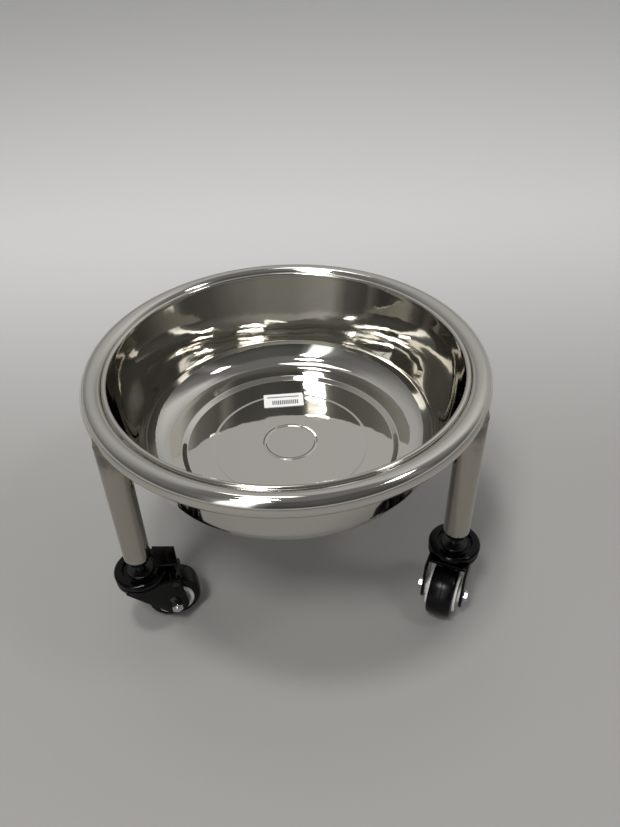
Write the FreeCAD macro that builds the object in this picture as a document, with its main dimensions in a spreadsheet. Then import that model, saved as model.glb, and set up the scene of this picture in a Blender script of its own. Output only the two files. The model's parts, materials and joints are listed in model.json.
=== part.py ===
"""Kick bucket: a loose spun bowl in a round ring on three castored legs.

The origin is on the floor, under the centre of the ring. +Z is up and -Y is the front.
Lengths are in millimetres and angles in degrees.
"""
import FreeCAD, Part
import math
import os
import Sketcher
from FreeCAD import Placement, Rotation, Vector

os.makedirs("parts", exist_ok=True)

# Driving dimensions: name, value, what it is.
SIZES = [
    # Ring and legs
    ("ring_pitch_radius", 175.0, "ring axis to the centre of its tube"),
    ("ring_tube_radius", 10.0, "outside radius of the ring's tube"),
    ("tube_wall", 1.5, "wall of the ring's tube and of the legs"),
    ("leg_radius", 12.5, "outside radius of a leg"),
    ("leg_drop", 142.5, "ring's tube centre down to the foot of a leg"),
    ("leg_top_drop", 3.0, "ring's tube centre down to the top of the cope"),
    ("weld_width", 1.2, "weld bead outside the leg"),
    ("weld_height", 3.5, "weld bead outside the ring's tube"),
    ("insert_depth", 22.0, "length of the threaded plug in a leg"),
    ("left_leg_angle", 212.1, "bearing of the left front leg from +X"),
    ("right_leg_angle", 332.1, "bearing of the right front leg from +X"),
    ("back_leg_angle", 92.1, "bearing of the back leg from +X"),
    # Bowl
    ("bowl_wall", 1.0, "sheet of the bowl"),
    ("bowl_depth", 90.5, "ring's tube centre down to the underside of the outer floor"),
    ("bowl_bend_radius", 31.0, "outside radius of the bend from floor to wall"),
    ("bowl_taper", 46.0, "top of the wall in to the edge of the flat floor"),
    ("floor_ledge", 8.7, "flat floor between the bend and the step down to the well"),
    ("well_drop", 3.0, "depth of the well below the outer floor"),
    ("well_ramp", 5.0, "width of the sloping side of the well"),
    ("dish_inset", 30.5, "step of the well in to the second, shallow step"),
    ("dish_drop", 0.4, "depth of the second step"),
    ("dish_ramp", 1.5, "width of the second step"),
    ("rim_bead_radius", 2.4, "radius of the rolled rim"),
    ("rim_seat_angle", 23.3, "height of the rim's seat round the ring's tube, from its waist"),
    ("seat_gap", 0.25, "gap between the rim and the ring's tube"),
    ("label_length", 42.0, "label on the floor of the well"),
    ("label_width", 22.0, "label, across"),
    ("label_thickness", 0.15, "label"),
    ("label_x", -5.1, "centre of the label"),
    ("label_y", 66.9, "centre of the label"),
    ("label_tilt", 2.2, "turn of the label about +Z"),
    # Castors, swivelling part
    ("left_trail_angle", 14.8, "bearing in which the left castor trails"),
    ("right_trail_angle", 244.4, "bearing in which the right castor trails"),
    ("back_trail_angle", 118.0, "bearing in which the back castor trails"),
    ("castor_offset", 26.0, "swivel axis to wheel axis"),
    ("wheel_radius", 26.0, "radius of the tread at its crown"),
    ("fork_wheel_gap", 7.0, "top of the tread to the fork's crown"),
    ("fork_crown_thickness", 3.5, "crown plate of the fork"),
    ("fork_crown_radius", 24.5, "crown plate of the fork"),
    ("fork_rear", 25.0, "swivel axis to the straight rear edge of the crown"),
    ("fork_half_gap", 17.5, "middle plane to the inside of a side plate"),
    ("fork_plate_thickness", 2.5, "side plate of the fork"),
    ("fork_front_reach", 17.0, "swivel axis to the front of a side plate"),
    ("fork_plate_tail", 8.0, "rear edge of the crown to the rear of a side plate"),
    ("fork_boss_radius", 12.0, "round end of a side plate about the axle"),
    ("fork_bend_radius", 2.0, "outer rounding where side plate meets crown"),
    # Castors, ball races and stem
    ("head_radius", 25.0, "dished upper race"),
    ("head_height", 5.5, "underside of the upper race to its rim"),
    ("head_web", 3.0, "underside of the upper race to the floor of its dish"),
    ("head_dish_radius", 16.5, "dish in the upper race"),
    ("head_rim_round", 3.0, "outer rounding of the upper race"),
    ("head_dish_round", 1.2, "inner rounding of the upper race's rim"),
    ("head_skirt", 2.6, "thickness of the skirt over the fork's crown"),
    ("running_gap", 0.7, "gap between the skirt and the fork's crown"),
    ("stem_radius", 5.0, "king pin"),
    ("shank_length", 9.9, "bare shank between the collar and the lock nut"),
    ("stem_engagement", 18.0, "length of the king pin inside the leg's plug"),
    ("collar_radius", 12.8, "collar of the king pin on the upper race"),
    ("collar_height", 1.6, "collar of the king pin"),
    ("rivet_radius", 8.0, "rivet head under the lower race"),
    ("rivet_height", 2.5, "rivet head under the lower race"),
    ("keeper_radius", 14.0, "lower race"),
    ("keeper_thickness", 3.0, "lower race"),
    ("stem_clearance", 0.6, "king pin to the fork's bore"),
    ("fit_gap", 0.05, "gap of a fixed fit between two pieces"),
    ("stem_nut_flats", 17.0, "lock nut under the leg, across flats"),
    ("stem_nut_height", 8.0, "lock nut under the leg"),
    ("upper_ball_count", 16, "upper row of balls"),
    ("upper_ball_radius", 2.25, "upper row of balls"),
    ("upper_ball_pitch", 17.0, "pitch radius of the upper row"),
    ("lower_ball_count", 12, "lower row of balls"),
    ("lower_ball_radius", 1.75, "lower row of balls"),
    ("lower_ball_pitch", 10.0, "pitch radius of the lower row"),
    ("groove_depth", 1.0, "depth of a ball groove"),
    # Wheels
    ("axle_radius", 3.0, "axle bolt"),
    ("axle_flats", 10.0, "head and nut of the axle bolt, across flats"),
    ("axle_head_height", 4.0, "head of the axle bolt"),
    ("axle_nut_height", 5.0, "nut of the axle bolt"),
    ("axle_thread_end", 1.5, "thread that stands out of the nut"),
    ("sleeve_radius", 6.0, "spacer tube on the axle bolt"),
    ("bearing_gap", 0.08, "running gap between hub and spacer tube"),
    ("hub_end_gap", 0.4, "gap between the hub's boss and a side plate"),
    ("hub_boss_radius", 9.0, "boss of the hub"),
    ("hub_web_half", 5.0, "half thickness of the hub's web"),
    ("tread_thickness", 9.5, "tread at its crown"),
    ("hub_rim_thickness", 4.5, "rim of the hub under the tread"),
    ("flange_lip", 1.5, "rise of the flange beside the tread"),
    ("flange_thickness", 2.5, "flange of the hub"),
    ("tread_half_width", 12.0, "half width of the tread"),
    ("tread_crown", 1.5, "rise of the tread from its edges to its middle"),
    ("tread_shoulder_round", 3.0, "rounding of the tread's shoulders"),
    # Brake of the left castor
    ("brake_pin_setback", 3.5, "rear edge of the fork's crown to the brake's pin"),
    ("brake_pin_drop", 2.5, "underside of the fork's crown down to the brake's pin"),
    ("brake_pin_radius", 2.0, "brake's pin"),
    ("brake_pin_lip", 1.2, "heads of the pin, outside its shank"),
    ("brake_pin_head", 0.9, "height of the pin's heads"),
    ("brake_barrel_radius", 3.6, "barrel of the lever round the pin"),
    ("brake_reach", 6.5, "pin out to the tip of the tread plate"),
    ("brake_rise", 18.5, "pin up to the tip of the tread plate"),
    ("brake_tread_length", 21.0, "tread plate, from its tip towards the leg"),
    ("brake_tread_slope", 6.5, "rise of the tread plate towards the leg"),
    ("brake_sheet", 2.6, "thickness of the lever"),
    ("brake_half_width", 12.0, "half width of the lever beside the leg"),
    ("brake_tip_half_width", 10.8, "half width of the lever at its tip"),
    ("shoe_reach", 8.8, "pin out to the tip of the brake shoe"),
    ("shoe_drop", 3.2, "pin down to the tip of the brake shoe"),
    ("shoe_half_width", 11.0, "half width of the brake shoe"),
    ("spring_half_width", 5.0, "half width of the leaf spring"),
    ("spring_thickness", 0.6, "leaf spring"),
    ("spring_length", 11.5, "leaf spring"),
    ("spring_gap", 0.3, "leaf spring to the lever's barrel"),
]

SIDES = ("left", "right", "back")

doc = FreeCAD.newDocument("kick_bucket")
dims = doc.addObject("Spreadsheet::Sheet", "dims")
for row, (alias, number, note) in enumerate(SIZES, start=1):
    dims.set(f"A{row}", alias)
    dims.set(f"B{row}", str(number))
    dims.set(f"C{row}", note)
    dims.setAlias(f"B{row}", alias)
doc.recompute()

# Heights above the floor that several pieces share, as expressions on the sheet.
AXLE_Z = "dims.wheel_radius"
CROWN_Z = "(2 * dims.wheel_radius + dims.fork_wheel_gap)"
CROWN_TOP_Z = f"({CROWN_Z} + dims.fork_crown_thickness)"
UPPER_BALL_Z = f"({CROWN_TOP_Z} + dims.upper_ball_radius - dims.groove_depth)"
RACE_Z = f"({UPPER_BALL_Z} + dims.upper_ball_radius - dims.groove_depth)"
DISH_Z = f"({RACE_Z} + dims.head_web)"
COLLAR_TOP_Z = f"({DISH_Z} + dims.collar_height)"
NUT_Z = f"({COLLAR_TOP_Z} + dims.shank_length)"
LEG_FOOT_Z = f"({NUT_Z} + dims.stem_nut_height)"
RING_Z = f"({LEG_FOOT_Z} + dims.leg_drop)"
LEG_TOP_Z = f"({RING_Z} - dims.leg_top_drop)"
LOWER_BALL_Z = f"({CROWN_Z} - dims.lower_ball_radius + dims.groove_depth)"
KEEPER_TOP_Z = f"({LOWER_BALL_Z} - dims.lower_ball_radius + dims.groove_depth)"
KEEPER_Z = f"({KEEPER_TOP_Z} - dims.keeper_thickness)"

# The rim's bead sits against the ring's tube at the seat angle.
SEAT_REACH = "(dims.ring_tube_radius + dims.rim_bead_radius + dims.seat_gap)"
BEAD_R = f"(dims.ring_pitch_radius - {SEAT_REACH} * cos(dims.rim_seat_angle))"
BEAD_Z = f"({SEAT_REACH} * sin(dims.rim_seat_angle))"

# Other places that several pieces share.
FORK_HALF_WIDTH = "(dims.fork_half_gap + dims.fork_plate_thickness)"
FORK_REAR_REACH = "(dims.fork_rear + dims.fork_plate_tail)"
BRAKE_X = "(dims.fork_rear + dims.brake_pin_setback)"
BRAKE_Z = f"({CROWN_Z} - dims.brake_pin_drop)"
TREAD_SEAT_R = "(dims.wheel_radius - dims.tread_thickness)"
RIGHT_THROUGH = f"(4 * {CROWN_TOP_Z})"
CENTRE = ("0", "0")


def size(expression):
    """Value of an expression on the sheet."""
    return float(dims.evalExpression(expression))


def new_body(label):
    """An empty body whose label is the node's name."""
    body = doc.addObject("PartDesign::Body", label)
    body.Label = label
    return body


def new_sketch(body, name, role, offset=None):
    """A sketch on one of the body's own origin planes, moved along the plane's normal."""
    plane = next(item for item in body.Origin.OriginFeatures if item.Role == role)
    sketch = body.newObject("Sketcher::SketchObject", f"{body.Name}_{name}")
    sketch.AttachmentSupport = [(plane, "")]
    sketch.MapMode = "FlatFace"
    if offset:
        sketch.setExpression("AttachmentOffset.Base.z", offset)
    return sketch


def bind(sketch, kind, expression, *geometry):
    """A dimension of the sketch that follows an expression."""
    index = sketch.addConstraint(Sketcher.Constraint(kind, *geometry, size(expression)))
    sketch.setExpression(f"Constraints[{index}]", expression)


def bind_point(sketch, item, end, point):
    """Both coordinates of one point of the sketch."""
    bind(sketch, "DistanceX", point[0], -1, 1, item, end)
    bind(sketch, "DistanceY", point[1], -1, 1, item, end)


def to_vector(point):
    """A pair of expressions as a point of the sketch's plane."""
    return Vector(size(point[0]), size(point[1]), 0)


def draw_polygon(sketch, points):
    """A closed polygon through points that are pairs of expressions."""
    first = sketch.GeometryCount
    ends = points[1:] + points[:1]
    for start, end in zip(points, ends):
        sketch.addGeometry(Part.LineSegment(to_vector(start), to_vector(end)), False)
    for index, point in enumerate(points):
        bind_point(sketch, first + index, 1, point)
        after = first + (index + 1) % len(points)
        sketch.addConstraint(Sketcher.Constraint("Coincident", first + index, 2, after, 1))


def draw_box(sketch, left, right, bottom, top):
    """A rectangle between four expressions."""
    draw_polygon(sketch, [(left, bottom), (right, bottom), (right, top), (left, top)])


def draw_circle(sketch, centre, radius):
    """A circle whose centre is a pair of expressions."""
    item = sketch.addGeometry(Part.Circle(to_vector(centre), Vector(0, 0, 1), size(radius)), False)
    bind_point(sketch, item, 3, centre)
    bind(sketch, "Radius", radius, item)


def add_feature(body, kind, name, sketch):
    """A feature of the body that uses one sketch."""
    feature = body.newObject(f"PartDesign::{kind}", f"{body.Name}_{name}")
    feature.Profile = sketch
    sketch.Visibility = False
    return feature


def pad(body, name, sketch, length, middle=False):
    """Material along the sketch's normal, or half to each side of it."""
    feature = add_feature(body, "Pad", name, sketch)
    feature.Midplane = middle
    feature.setExpression("Length", length)
    return feature


def pocket(body, name, sketch, length, middle=True, reverse=False):
    """A cut along the sketch's normal, or half to each side of it."""
    feature = add_feature(body, "Pocket", name, sketch)
    feature.Midplane = middle
    feature.Reversed = reverse
    feature.setExpression("Length", length)
    return feature


def revolve(body, name, sketch, axis="V_Axis", kind="Revolution"):
    """A full turn of the sketch about one of its own axes."""
    feature = add_feature(body, kind, name, sketch)
    feature.ReferenceAxis = (sketch, [axis])
    feature.Angle = 360
    return feature


def round_edges(body, name, base, radius, keep):
    """A fillet on those edges of the base feature that keep() accepts."""
    doc.recompute()
    edges = [f"Edge{i}" for i, edge in enumerate(base.Shape.Edges, start=1) if keep(edge)]
    feature = body.newObject("PartDesign::Fillet", f"{body.Name}_{name}")
    feature.Base = (base, edges)
    feature.setExpression("Radius", radius)
    return feature


def circle_at(radius, height=None, along="z"):
    """A test for circular edges of one radius, at one height along an axis."""
    wanted_radius = size(radius)
    wanted_height = None if height is None else size(height)

    def keep(edge):
        curve = edge.Curve
        if not isinstance(curve, Part.Circle) or abs(curve.Radius - wanted_radius) > 1e-4:
            return False
        return wanted_height is None or abs(getattr(curve.Center, along) - wanted_height) < 1e-4

    return keep


def place(part, x, y, z, turn):
    """The part's placement: a turn about +Z, then a move."""
    spot = f"placement(vector({x}; {y}; {z}); rotation(vector(0; 0; 1); {turn}))"
    part.setExpression("Placement", spot)


def place_at_leg(part, side, turn=None):
    """On the axis of one leg, turned outwards or by a bearing of its own."""
    bearing = f"dims.{side}_leg_angle"
    x = f"dims.ring_pitch_radius * cos({bearing})"
    y = f"dims.ring_pitch_radius * sin({bearing})"
    place(part, x, y, "0", turn or bearing)


def place_on_castor(part, side):
    """On one castor's swivel axis, with +X in the direction in which it trails."""
    place_at_leg(part, side, f"dims.{side}_trail_angle")


def place_on_axle(part, side):
    """At the middle of one wheel, with +Y along its axle."""
    leg = f"dims.{side}_leg_angle"
    trail = f"dims.{side}_trail_angle"
    x = f"dims.ring_pitch_radius * cos({leg}) + dims.castor_offset * cos({trail})"
    y = f"dims.ring_pitch_radius * sin({leg}) + dims.castor_offset * sin({trail})"
    place(part, x, y, AXLE_Z, trail)


# %% Ring, legs and welds


def make_ring():
    """Round tube bent to a closed ring."""
    body = new_body("ring_tube")
    sketch = new_sketch(body, "section", "XZ_Plane")
    centre = ("dims.ring_pitch_radius", RING_Z)
    draw_circle(sketch, centre, "dims.ring_tube_radius")
    draw_circle(sketch, centre, "dims.ring_tube_radius - dims.tube_wall")
    revolve(body, "tube", sketch)
    return body


def ring_tool(name, radius):
    """The ring's tube at a given radius, as seen from a leg's own axis."""
    torus = doc.addObject("Part::Torus", name)
    torus.setExpression("Radius1", "dims.ring_pitch_radius")
    torus.setExpression("Radius2", radius)
    torus.setExpression("Placement.Base.x", "-dims.ring_pitch_radius")
    torus.setExpression("Placement.Base.z", RING_Z)
    return torus


def rod_tool(name, radius, bottom, top):
    """An upright cylinder between two heights."""
    rod = doc.addObject("Part::Cylinder", name)
    rod.setExpression("Radius", radius)
    rod.setExpression("Height", f"{top} - {bottom}")
    rod.setExpression("Placement.Base.z", bottom)
    return rod


def cut(name, base, tool):
    """The base without the tool."""
    result = doc.addObject("Part::Cut", name)
    result.Base = base
    result.Tool = tool
    return result


def make_leg(side):
    """Upright tube, coped to the underside of the ring."""
    name = f"leg_{side}"
    outside = rod_tool(f"{name}_outside", "dims.leg_radius", LEG_FOOT_Z, LEG_TOP_Z)
    inside = rod_tool(f"{name}_inside", "dims.leg_radius - dims.tube_wall", LEG_FOOT_Z, LEG_TOP_Z)
    tube = cut(f"{name}_tube", outside, inside)
    leg = cut(name, tube, ring_tool(f"{name}_cope", "dims.ring_tube_radius"))
    leg.Label = name
    place_at_leg(leg, side)
    return leg


def make_leg_weld(side):
    """Bead that follows the cope between a leg and the ring."""
    name = f"leg_weld_{side}"
    reach = "(dims.ring_tube_radius + dims.weld_height)"
    bottom = f"({RING_Z} - {reach} - dims.weld_height)"
    top = f"({RING_Z} - dims.leg_top_drop / 2)"
    outside = rod_tool(f"{name}_outside", "dims.leg_radius + dims.weld_width", bottom, top)
    collar = doc.addObject("Part::Common", f"{name}_collar")
    collar.Base = outside
    collar.Tool = ring_tool(f"{name}_reach", reach)
    bore = rod_tool(f"{name}_bore", "dims.leg_radius", bottom, LEG_TOP_Z)
    open_collar = cut(f"{name}_open", collar, bore)
    weld = cut(name, open_collar, ring_tool(f"{name}_ring", "dims.ring_tube_radius"))
    weld.Label = name
    place_at_leg(weld, side)
    return weld


def make_leg_insert(side):
    """Threaded plug pressed into the foot of a leg."""
    body = new_body(f"leg_insert_{side}")
    sketch = new_sketch(body, "section", "XZ_Plane")
    inner = "dims.stem_radius + dims.fit_gap"
    outer = "dims.leg_radius - dims.tube_wall - dims.fit_gap"
    top = f"{LEG_FOOT_Z} + dims.insert_depth"
    draw_polygon(sketch, [(inner, LEG_FOOT_Z), (outer, LEG_FOOT_Z), (outer, top), (inner, top)])
    revolve(body, "plug", sketch)
    place_at_leg(body, side)
    return body


# %% Bowl


def tangent_point(centre, radius, start, left):
    """Where the line from start touches a circle, on its left or right as seen from start."""
    away = start - centre
    lean = math.acos(radius / away.Length)
    angle = math.atan2(away.y, away.x) + (lean if left else -lean)
    return centre + Vector(math.cos(angle), math.sin(angle), 0) * radius


def make_bowl():
    """Spun bowl with a stepped floor and a rolled rim. Its own origin is at the ring's centre."""
    body = new_body("bowl")
    sketch = new_sketch(body, "section", "XZ_Plane")
    floor = "-dims.bowl_depth"
    well = f"{floor} - dims.well_drop"
    dish = f"{well} - dims.dish_drop"
    bend_z = f"{floor} + dims.bowl_bend_radius"
    wall_r = f"{BEAD_R} - dims.rim_bead_radius + dims.bowl_wall"
    floor_r = f"{wall_r} - dims.bowl_taper"
    well_r = f"{floor_r} - dims.floor_ledge"
    dish_r = f"{well_r} - dims.dish_inset"
    corners = [
        ("0", BEAD_Z),
        ("0", dish),
        (f"{dish_r} - dims.dish_ramp", dish),
        (dish_r, well),
        (f"{well_r} - dims.well_ramp", well),
        (well_r, floor),
        (floor_r, floor),
    ]
    rim = (wall_r, BEAD_Z)
    centre = Vector(size(floor_r), size(bend_z), 0)
    touch = tangent_point(centre, size("dims.bowl_bend_radius"), to_vector(rim), left=False)
    for start, end in zip(corners, corners[1:]):
        sketch.addGeometry(Part.LineSegment(to_vector(start), to_vector(end)), False)
    last = len(corners) - 2
    sweep_end = math.atan2(touch.y - centre.y, touch.x - centre.x)
    circle = Part.Circle(centre, Vector(0, 0, 1), size("dims.bowl_bend_radius"))
    bend = sketch.addGeometry(Part.ArcOfCircle(circle, -math.pi / 2, sweep_end), False)
    wall = sketch.addGeometry(Part.LineSegment(touch, to_vector(rim)), False)
    top = sketch.addGeometry(Part.LineSegment(to_vector(rim), to_vector(corners[0])), False)
    for index, corner in enumerate(corners[:-1]):
        bind_point(sketch, index, 1, corner)
        if index < last:
            sketch.addConstraint(Sketcher.Constraint("Coincident", index, 2, index + 1, 1))
    bind_point(sketch, bend, 3, (floor_r, bend_z))
    bind(sketch, "Radius", "dims.bowl_bend_radius", bend)
    sketch.addConstraint(Sketcher.Constraint("Tangent", last, 2, bend, 1))
    sketch.addConstraint(Sketcher.Constraint("Tangent", bend, 2, wall, 1))
    sketch.addConstraint(Sketcher.Constraint("Coincident", wall, 2, top, 1))
    sketch.addConstraint(Sketcher.Constraint("Coincident", top, 2, 0, 1))
    bind_point(sketch, top, 1, rim)
    form = revolve(body, "form", sketch)
    doc.recompute()
    lid = max(range(len(form.Shape.Faces)), key=lambda i: form.Shape.Faces[i].CenterOfMass.z)
    shell = body.newObject("PartDesign::Thickness", "bowl_shell")
    shell.Base = (form, [f"Face{lid + 1}"])
    shell.Reversed = True
    shell.Join = 1
    shell.setExpression("Value", "dims.bowl_wall")
    bead = new_sketch(body, "bead_section", "XZ_Plane")
    draw_circle(bead, (BEAD_R, BEAD_Z), "dims.rim_bead_radius")
    revolve(body, "bead", bead)
    place(body, "0", "0", RING_Z, "0")
    return body


def make_label():
    """Plain label that lies on the floor of the well."""
    label = doc.addObject("Part::Box", "bowl_label")
    label.Label = "bowl_label"
    label.setExpression("Length", "dims.label_length")
    label.setExpression("Width", "dims.label_width")
    label.setExpression("Height", "dims.label_thickness")
    half = "(vector(dims.label_length; dims.label_width; 0) * -0.5)"
    tilt = "rotation(vector(0; 0; 1); dims.label_tilt)"
    floor = f"{RING_Z} - dims.bowl_depth - dims.well_drop + dims.bowl_wall"
    spot = f"vector(dims.label_x; dims.label_y; {floor})"
    label.setExpression("Placement", f"placement({spot} + {tilt} * {half}; {tilt})")
    return label


# %% Castor stem and races


def make_stem(side):
    """King pin: threaded shank, collar on the upper race and rivet head under the lower one."""
    body = new_body(f"castor_stem_{side}")
    sketch = new_sketch(body, "section", "XZ_Plane")
    foot = f"{KEEPER_Z} - dims.rivet_height"
    top = f"{LEG_FOOT_Z} + dims.stem_engagement"
    draw_polygon(sketch, [
        ("0", foot),
        ("dims.rivet_radius", foot),
        ("dims.rivet_radius", KEEPER_Z),
        ("dims.stem_radius", KEEPER_Z),
        ("dims.stem_radius", DISH_Z),
        ("dims.collar_radius", DISH_Z),
        ("dims.collar_radius", COLLAR_TOP_Z),
        ("dims.stem_radius", COLLAR_TOP_Z),
        ("dims.stem_radius", top),
        ("0", top),
    ])
    pin = revolve(body, "pin", sketch)
    half_rivet = "dims.rivet_height / 2"
    round_edges(body, "rivet_round", pin, half_rivet, circle_at("dims.rivet_radius", foot))
    place_at_leg(body, side)
    return body


def make_stem_nut(side):
    """Hexagonal lock nut on the king pin, tight against the leg."""
    body = new_body(f"stem_nut_{side}")
    sketch = new_sketch(body, "hexagon", "XY_Plane", NUT_Z)
    draw_hexagon(sketch, "dims.stem_nut_flats")
    draw_circle(sketch, CENTRE, "dims.stem_radius + dims.fit_gap")
    pad(body, "nut", sketch, "dims.stem_nut_height")
    place_at_leg(body, side)
    return body


def draw_hexagon(sketch, flats):
    """A hexagon about the sketch's origin, by its width across flats."""
    corner = f"({flats} / 2 / cos(30))"
    points = [(f"{corner} * cos({60 * i})", f"{corner} * sin({60 * i})") for i in range(6)]
    draw_polygon(sketch, points)


def cut_ball_groove(body, name, pitch, height, radius):
    """A groove about +Z for one row of balls."""
    sketch = new_sketch(body, f"{name}_section", "XZ_Plane")
    draw_circle(sketch, (pitch, height), f"{radius} + dims.fit_gap")
    return revolve(body, name, sketch, kind="Groove")


def make_top_race(side):
    """Dished upper race with a skirt over the fork's crown."""
    body = new_body(f"top_race_{side}")
    sketch = new_sketch(body, "section", "XZ_Plane")
    bore = "dims.stem_radius + dims.fit_gap"
    skirt = "dims.head_radius - dims.head_skirt"
    skirt_z = f"{CROWN_TOP_Z} + dims.running_gap"
    step_z = f"{RACE_Z} + dims.head_skirt / 2"
    step_r = "dims.head_radius - dims.head_skirt / 3"
    rim_z = f"{RACE_Z} + dims.head_height"
    draw_polygon(sketch, [
        (bore, RACE_Z),
        (skirt, RACE_Z),
        (skirt, skirt_z),
        (step_r, skirt_z),
        (step_r, step_z),
        ("dims.head_radius", step_z),
        ("dims.head_radius", rim_z),
        ("dims.head_dish_radius", rim_z),
        ("dims.head_dish_radius", DISH_Z),
        (bore, DISH_Z),
    ])
    housing = revolve(body, "housing", sketch)
    outer_rim = circle_at("dims.head_radius", rim_z)
    inner_rim = circle_at("dims.head_dish_radius", rim_z)
    rounded = round_edges(body, "rim_round", housing, "dims.head_rim_round", outer_rim)
    round_edges(body, "dish_round", rounded, "dims.head_dish_round", inner_rim)
    cut_ball_groove(body, "groove", "dims.upper_ball_pitch", UPPER_BALL_Z, "dims.upper_ball_radius")
    place_at_leg(body, side)
    return body


def make_lower_race(side):
    """Keeper under the fork's crown that carries the lower row of balls."""
    body = new_body(f"lower_race_{side}")
    sketch = new_sketch(body, "section", "XZ_Plane")
    bore = "dims.stem_radius + dims.fit_gap"
    draw_polygon(sketch, [
        (bore, KEEPER_Z),
        ("dims.keeper_radius - dims.keeper_thickness / 2", KEEPER_Z),
        ("dims.keeper_radius", f"{KEEPER_Z} + dims.keeper_thickness / 2"),
        ("dims.keeper_radius", KEEPER_TOP_Z),
        (bore, KEEPER_TOP_Z),
    ])
    revolve(body, "dish", sketch)
    cut_ball_groove(body, "groove", "dims.lower_ball_pitch", LOWER_BALL_Z, "dims.lower_ball_radius")
    place_at_leg(body, side)
    return body


def make_balls(row_name, side, height):
    """One row of separate balls about a swivel axis."""
    count = int(size(f"dims.{row_name}_ball_count"))
    radius = size(f"dims.{row_name}_ball_radius")
    first = Vector(size(f"dims.{row_name}_ball_pitch"), 0, size(height))
    turns = [Rotation(Vector(0, 0, 1), 360 * i / count) for i in range(count)]
    balls = doc.addObject("Part::Feature", f"{row_name}_balls_{side}")
    balls.Label = f"{row_name}_balls_{side}"
    balls.Shape = Part.makeCompound([Part.makeSphere(radius, turn.multVec(first)) for turn in turns])
    place_on_castor(balls, side)
    return balls


# %% Fork


def draw_side_plate(sketch):
    """Teardrop side plate: straight along the crown, round about the axle."""
    front = ("-dims.fork_front_reach", CROWN_Z)
    front_top = ("-dims.fork_front_reach", CROWN_TOP_Z)
    rear_top = (FORK_REAR_REACH, CROWN_TOP_Z)
    axle = ("dims.castor_offset", AXLE_Z)
    centre = to_vector(axle)
    radius = size("dims.fork_boss_radius")
    rear_touch = tangent_point(centre, radius, to_vector(rear_top), left=False)
    front_touch = tangent_point(centre, radius, to_vector(front), left=True)
    start = math.atan2(front_touch.y - centre.y, front_touch.x - centre.x) % (2 * math.pi)
    end = start + (math.atan2(rear_touch.y - centre.y, rear_touch.x - centre.x) - start) % (2 * math.pi)
    line, arc = Part.LineSegment, Part.ArcOfCircle
    top = sketch.addGeometry(line(to_vector(front_top), to_vector(rear_top)), False)
    rear = sketch.addGeometry(line(to_vector(rear_top), rear_touch), False)
    boss = sketch.addGeometry(arc(Part.Circle(centre, Vector(0, 0, 1), radius), start, end), False)
    slope = sketch.addGeometry(line(front_touch, to_vector(front)), False)
    edge = sketch.addGeometry(line(to_vector(front), to_vector(front_top)), False)
    bind_point(sketch, top, 1, front_top)
    bind_point(sketch, top, 2, rear_top)
    bind_point(sketch, edge, 1, front)
    bind_point(sketch, boss, 3, axle)
    bind(sketch, "Radius", "dims.fork_boss_radius", boss)
    sketch.addConstraint(Sketcher.Constraint("Coincident", top, 2, rear, 1))
    sketch.addConstraint(Sketcher.Constraint("Tangent", rear, 2, boss, 2))
    sketch.addConstraint(Sketcher.Constraint("Tangent", slope, 1, boss, 1))
    sketch.addConstraint(Sketcher.Constraint("Coincident", slope, 2, edge, 1))
    sketch.addConstraint(Sketcher.Constraint("Coincident", edge, 2, top, 1))


def make_fork(side):
    """Pressed fork: crown plate and two side plates, on the castor's swivel axis."""
    body = new_body(f"fork_{side}")
    disc = new_sketch(body, "disc_outline", "XY_Plane", CROWN_Z)
    draw_circle(disc, CENTRE, "dims.fork_crown_radius")
    pad(body, "disc", disc, "dims.fork_crown_thickness")
    tail = new_sketch(body, "tail_outline", "XY_Plane", CROWN_Z)
    draw_box(tail, "0", "dims.fork_rear", f"-{FORK_HALF_WIDTH}", FORK_HALF_WIDTH)
    pad(body, "tail", tail, "dims.fork_crown_thickness")
    plates = new_sketch(body, "plate_outline", "XZ_Plane")
    draw_side_plate(plates)
    pad(body, "plates", plates, f"2 * {FORK_HALF_WIDTH}", middle=True)
    under = new_sketch(body, "gap_outline", "XZ_Plane")
    draw_box(under, f"-{RIGHT_THROUGH}", RIGHT_THROUGH, "0", CROWN_Z)
    pocket(body, "gap", under, "2 * dims.fork_half_gap")
    behind = new_sketch(body, "notch_outline", "XZ_Plane")
    draw_box(behind, "dims.fork_rear", RIGHT_THROUGH, "0", RIGHT_THROUGH)
    notched = pocket(body, "notch", behind, "2 * dims.fork_half_gap")
    round_edges(body, "bend", notched, "dims.fork_bend_radius", is_fork_shoulder)
    holes = new_sketch(body, "cross_holes", "XZ_Plane")
    draw_circle(holes, ("dims.castor_offset", AXLE_Z), "dims.axle_radius + dims.fit_gap")
    if side == "left":
        draw_circle(holes, (BRAKE_X, BRAKE_Z), "dims.brake_pin_radius + dims.fit_gap")
    pocket(body, "cross", holes, RIGHT_THROUGH)
    bore = new_sketch(body, "bore_outline", "XY_Plane")
    draw_circle(bore, CENTRE, "dims.stem_radius + dims.stem_clearance")
    pocket(body, "bore", bore, RIGHT_THROUGH)
    cut_ball_groove(body, "upper_groove", "dims.upper_ball_pitch", UPPER_BALL_Z, "dims.upper_ball_radius")
    cut_ball_groove(body, "lower_groove", "dims.lower_ball_pitch", LOWER_BALL_Z, "dims.lower_ball_radius")
    place_on_castor(body, side)
    return body


def is_fork_shoulder(edge):
    """Straight edges along the top of the side plates, on their outside."""
    box = edge.BoundBox
    outside = abs(abs(box.YMin) - size(FORK_HALF_WIDTH)) < 1e-4 and box.YLength < 1e-4
    return outside and box.ZLength < 1e-4 and abs(box.ZMin - size(CROWN_TOP_Z)) < 1e-4


# %% Wheel and axle, about the sketch's vertical axis, which is the axle


def mirrored(half):
    """A half outline in radius and place along the axle, completed on the other side of the wheel."""
    return half + [(radius, f"-({along})") for radius, along in reversed(half)]


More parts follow.
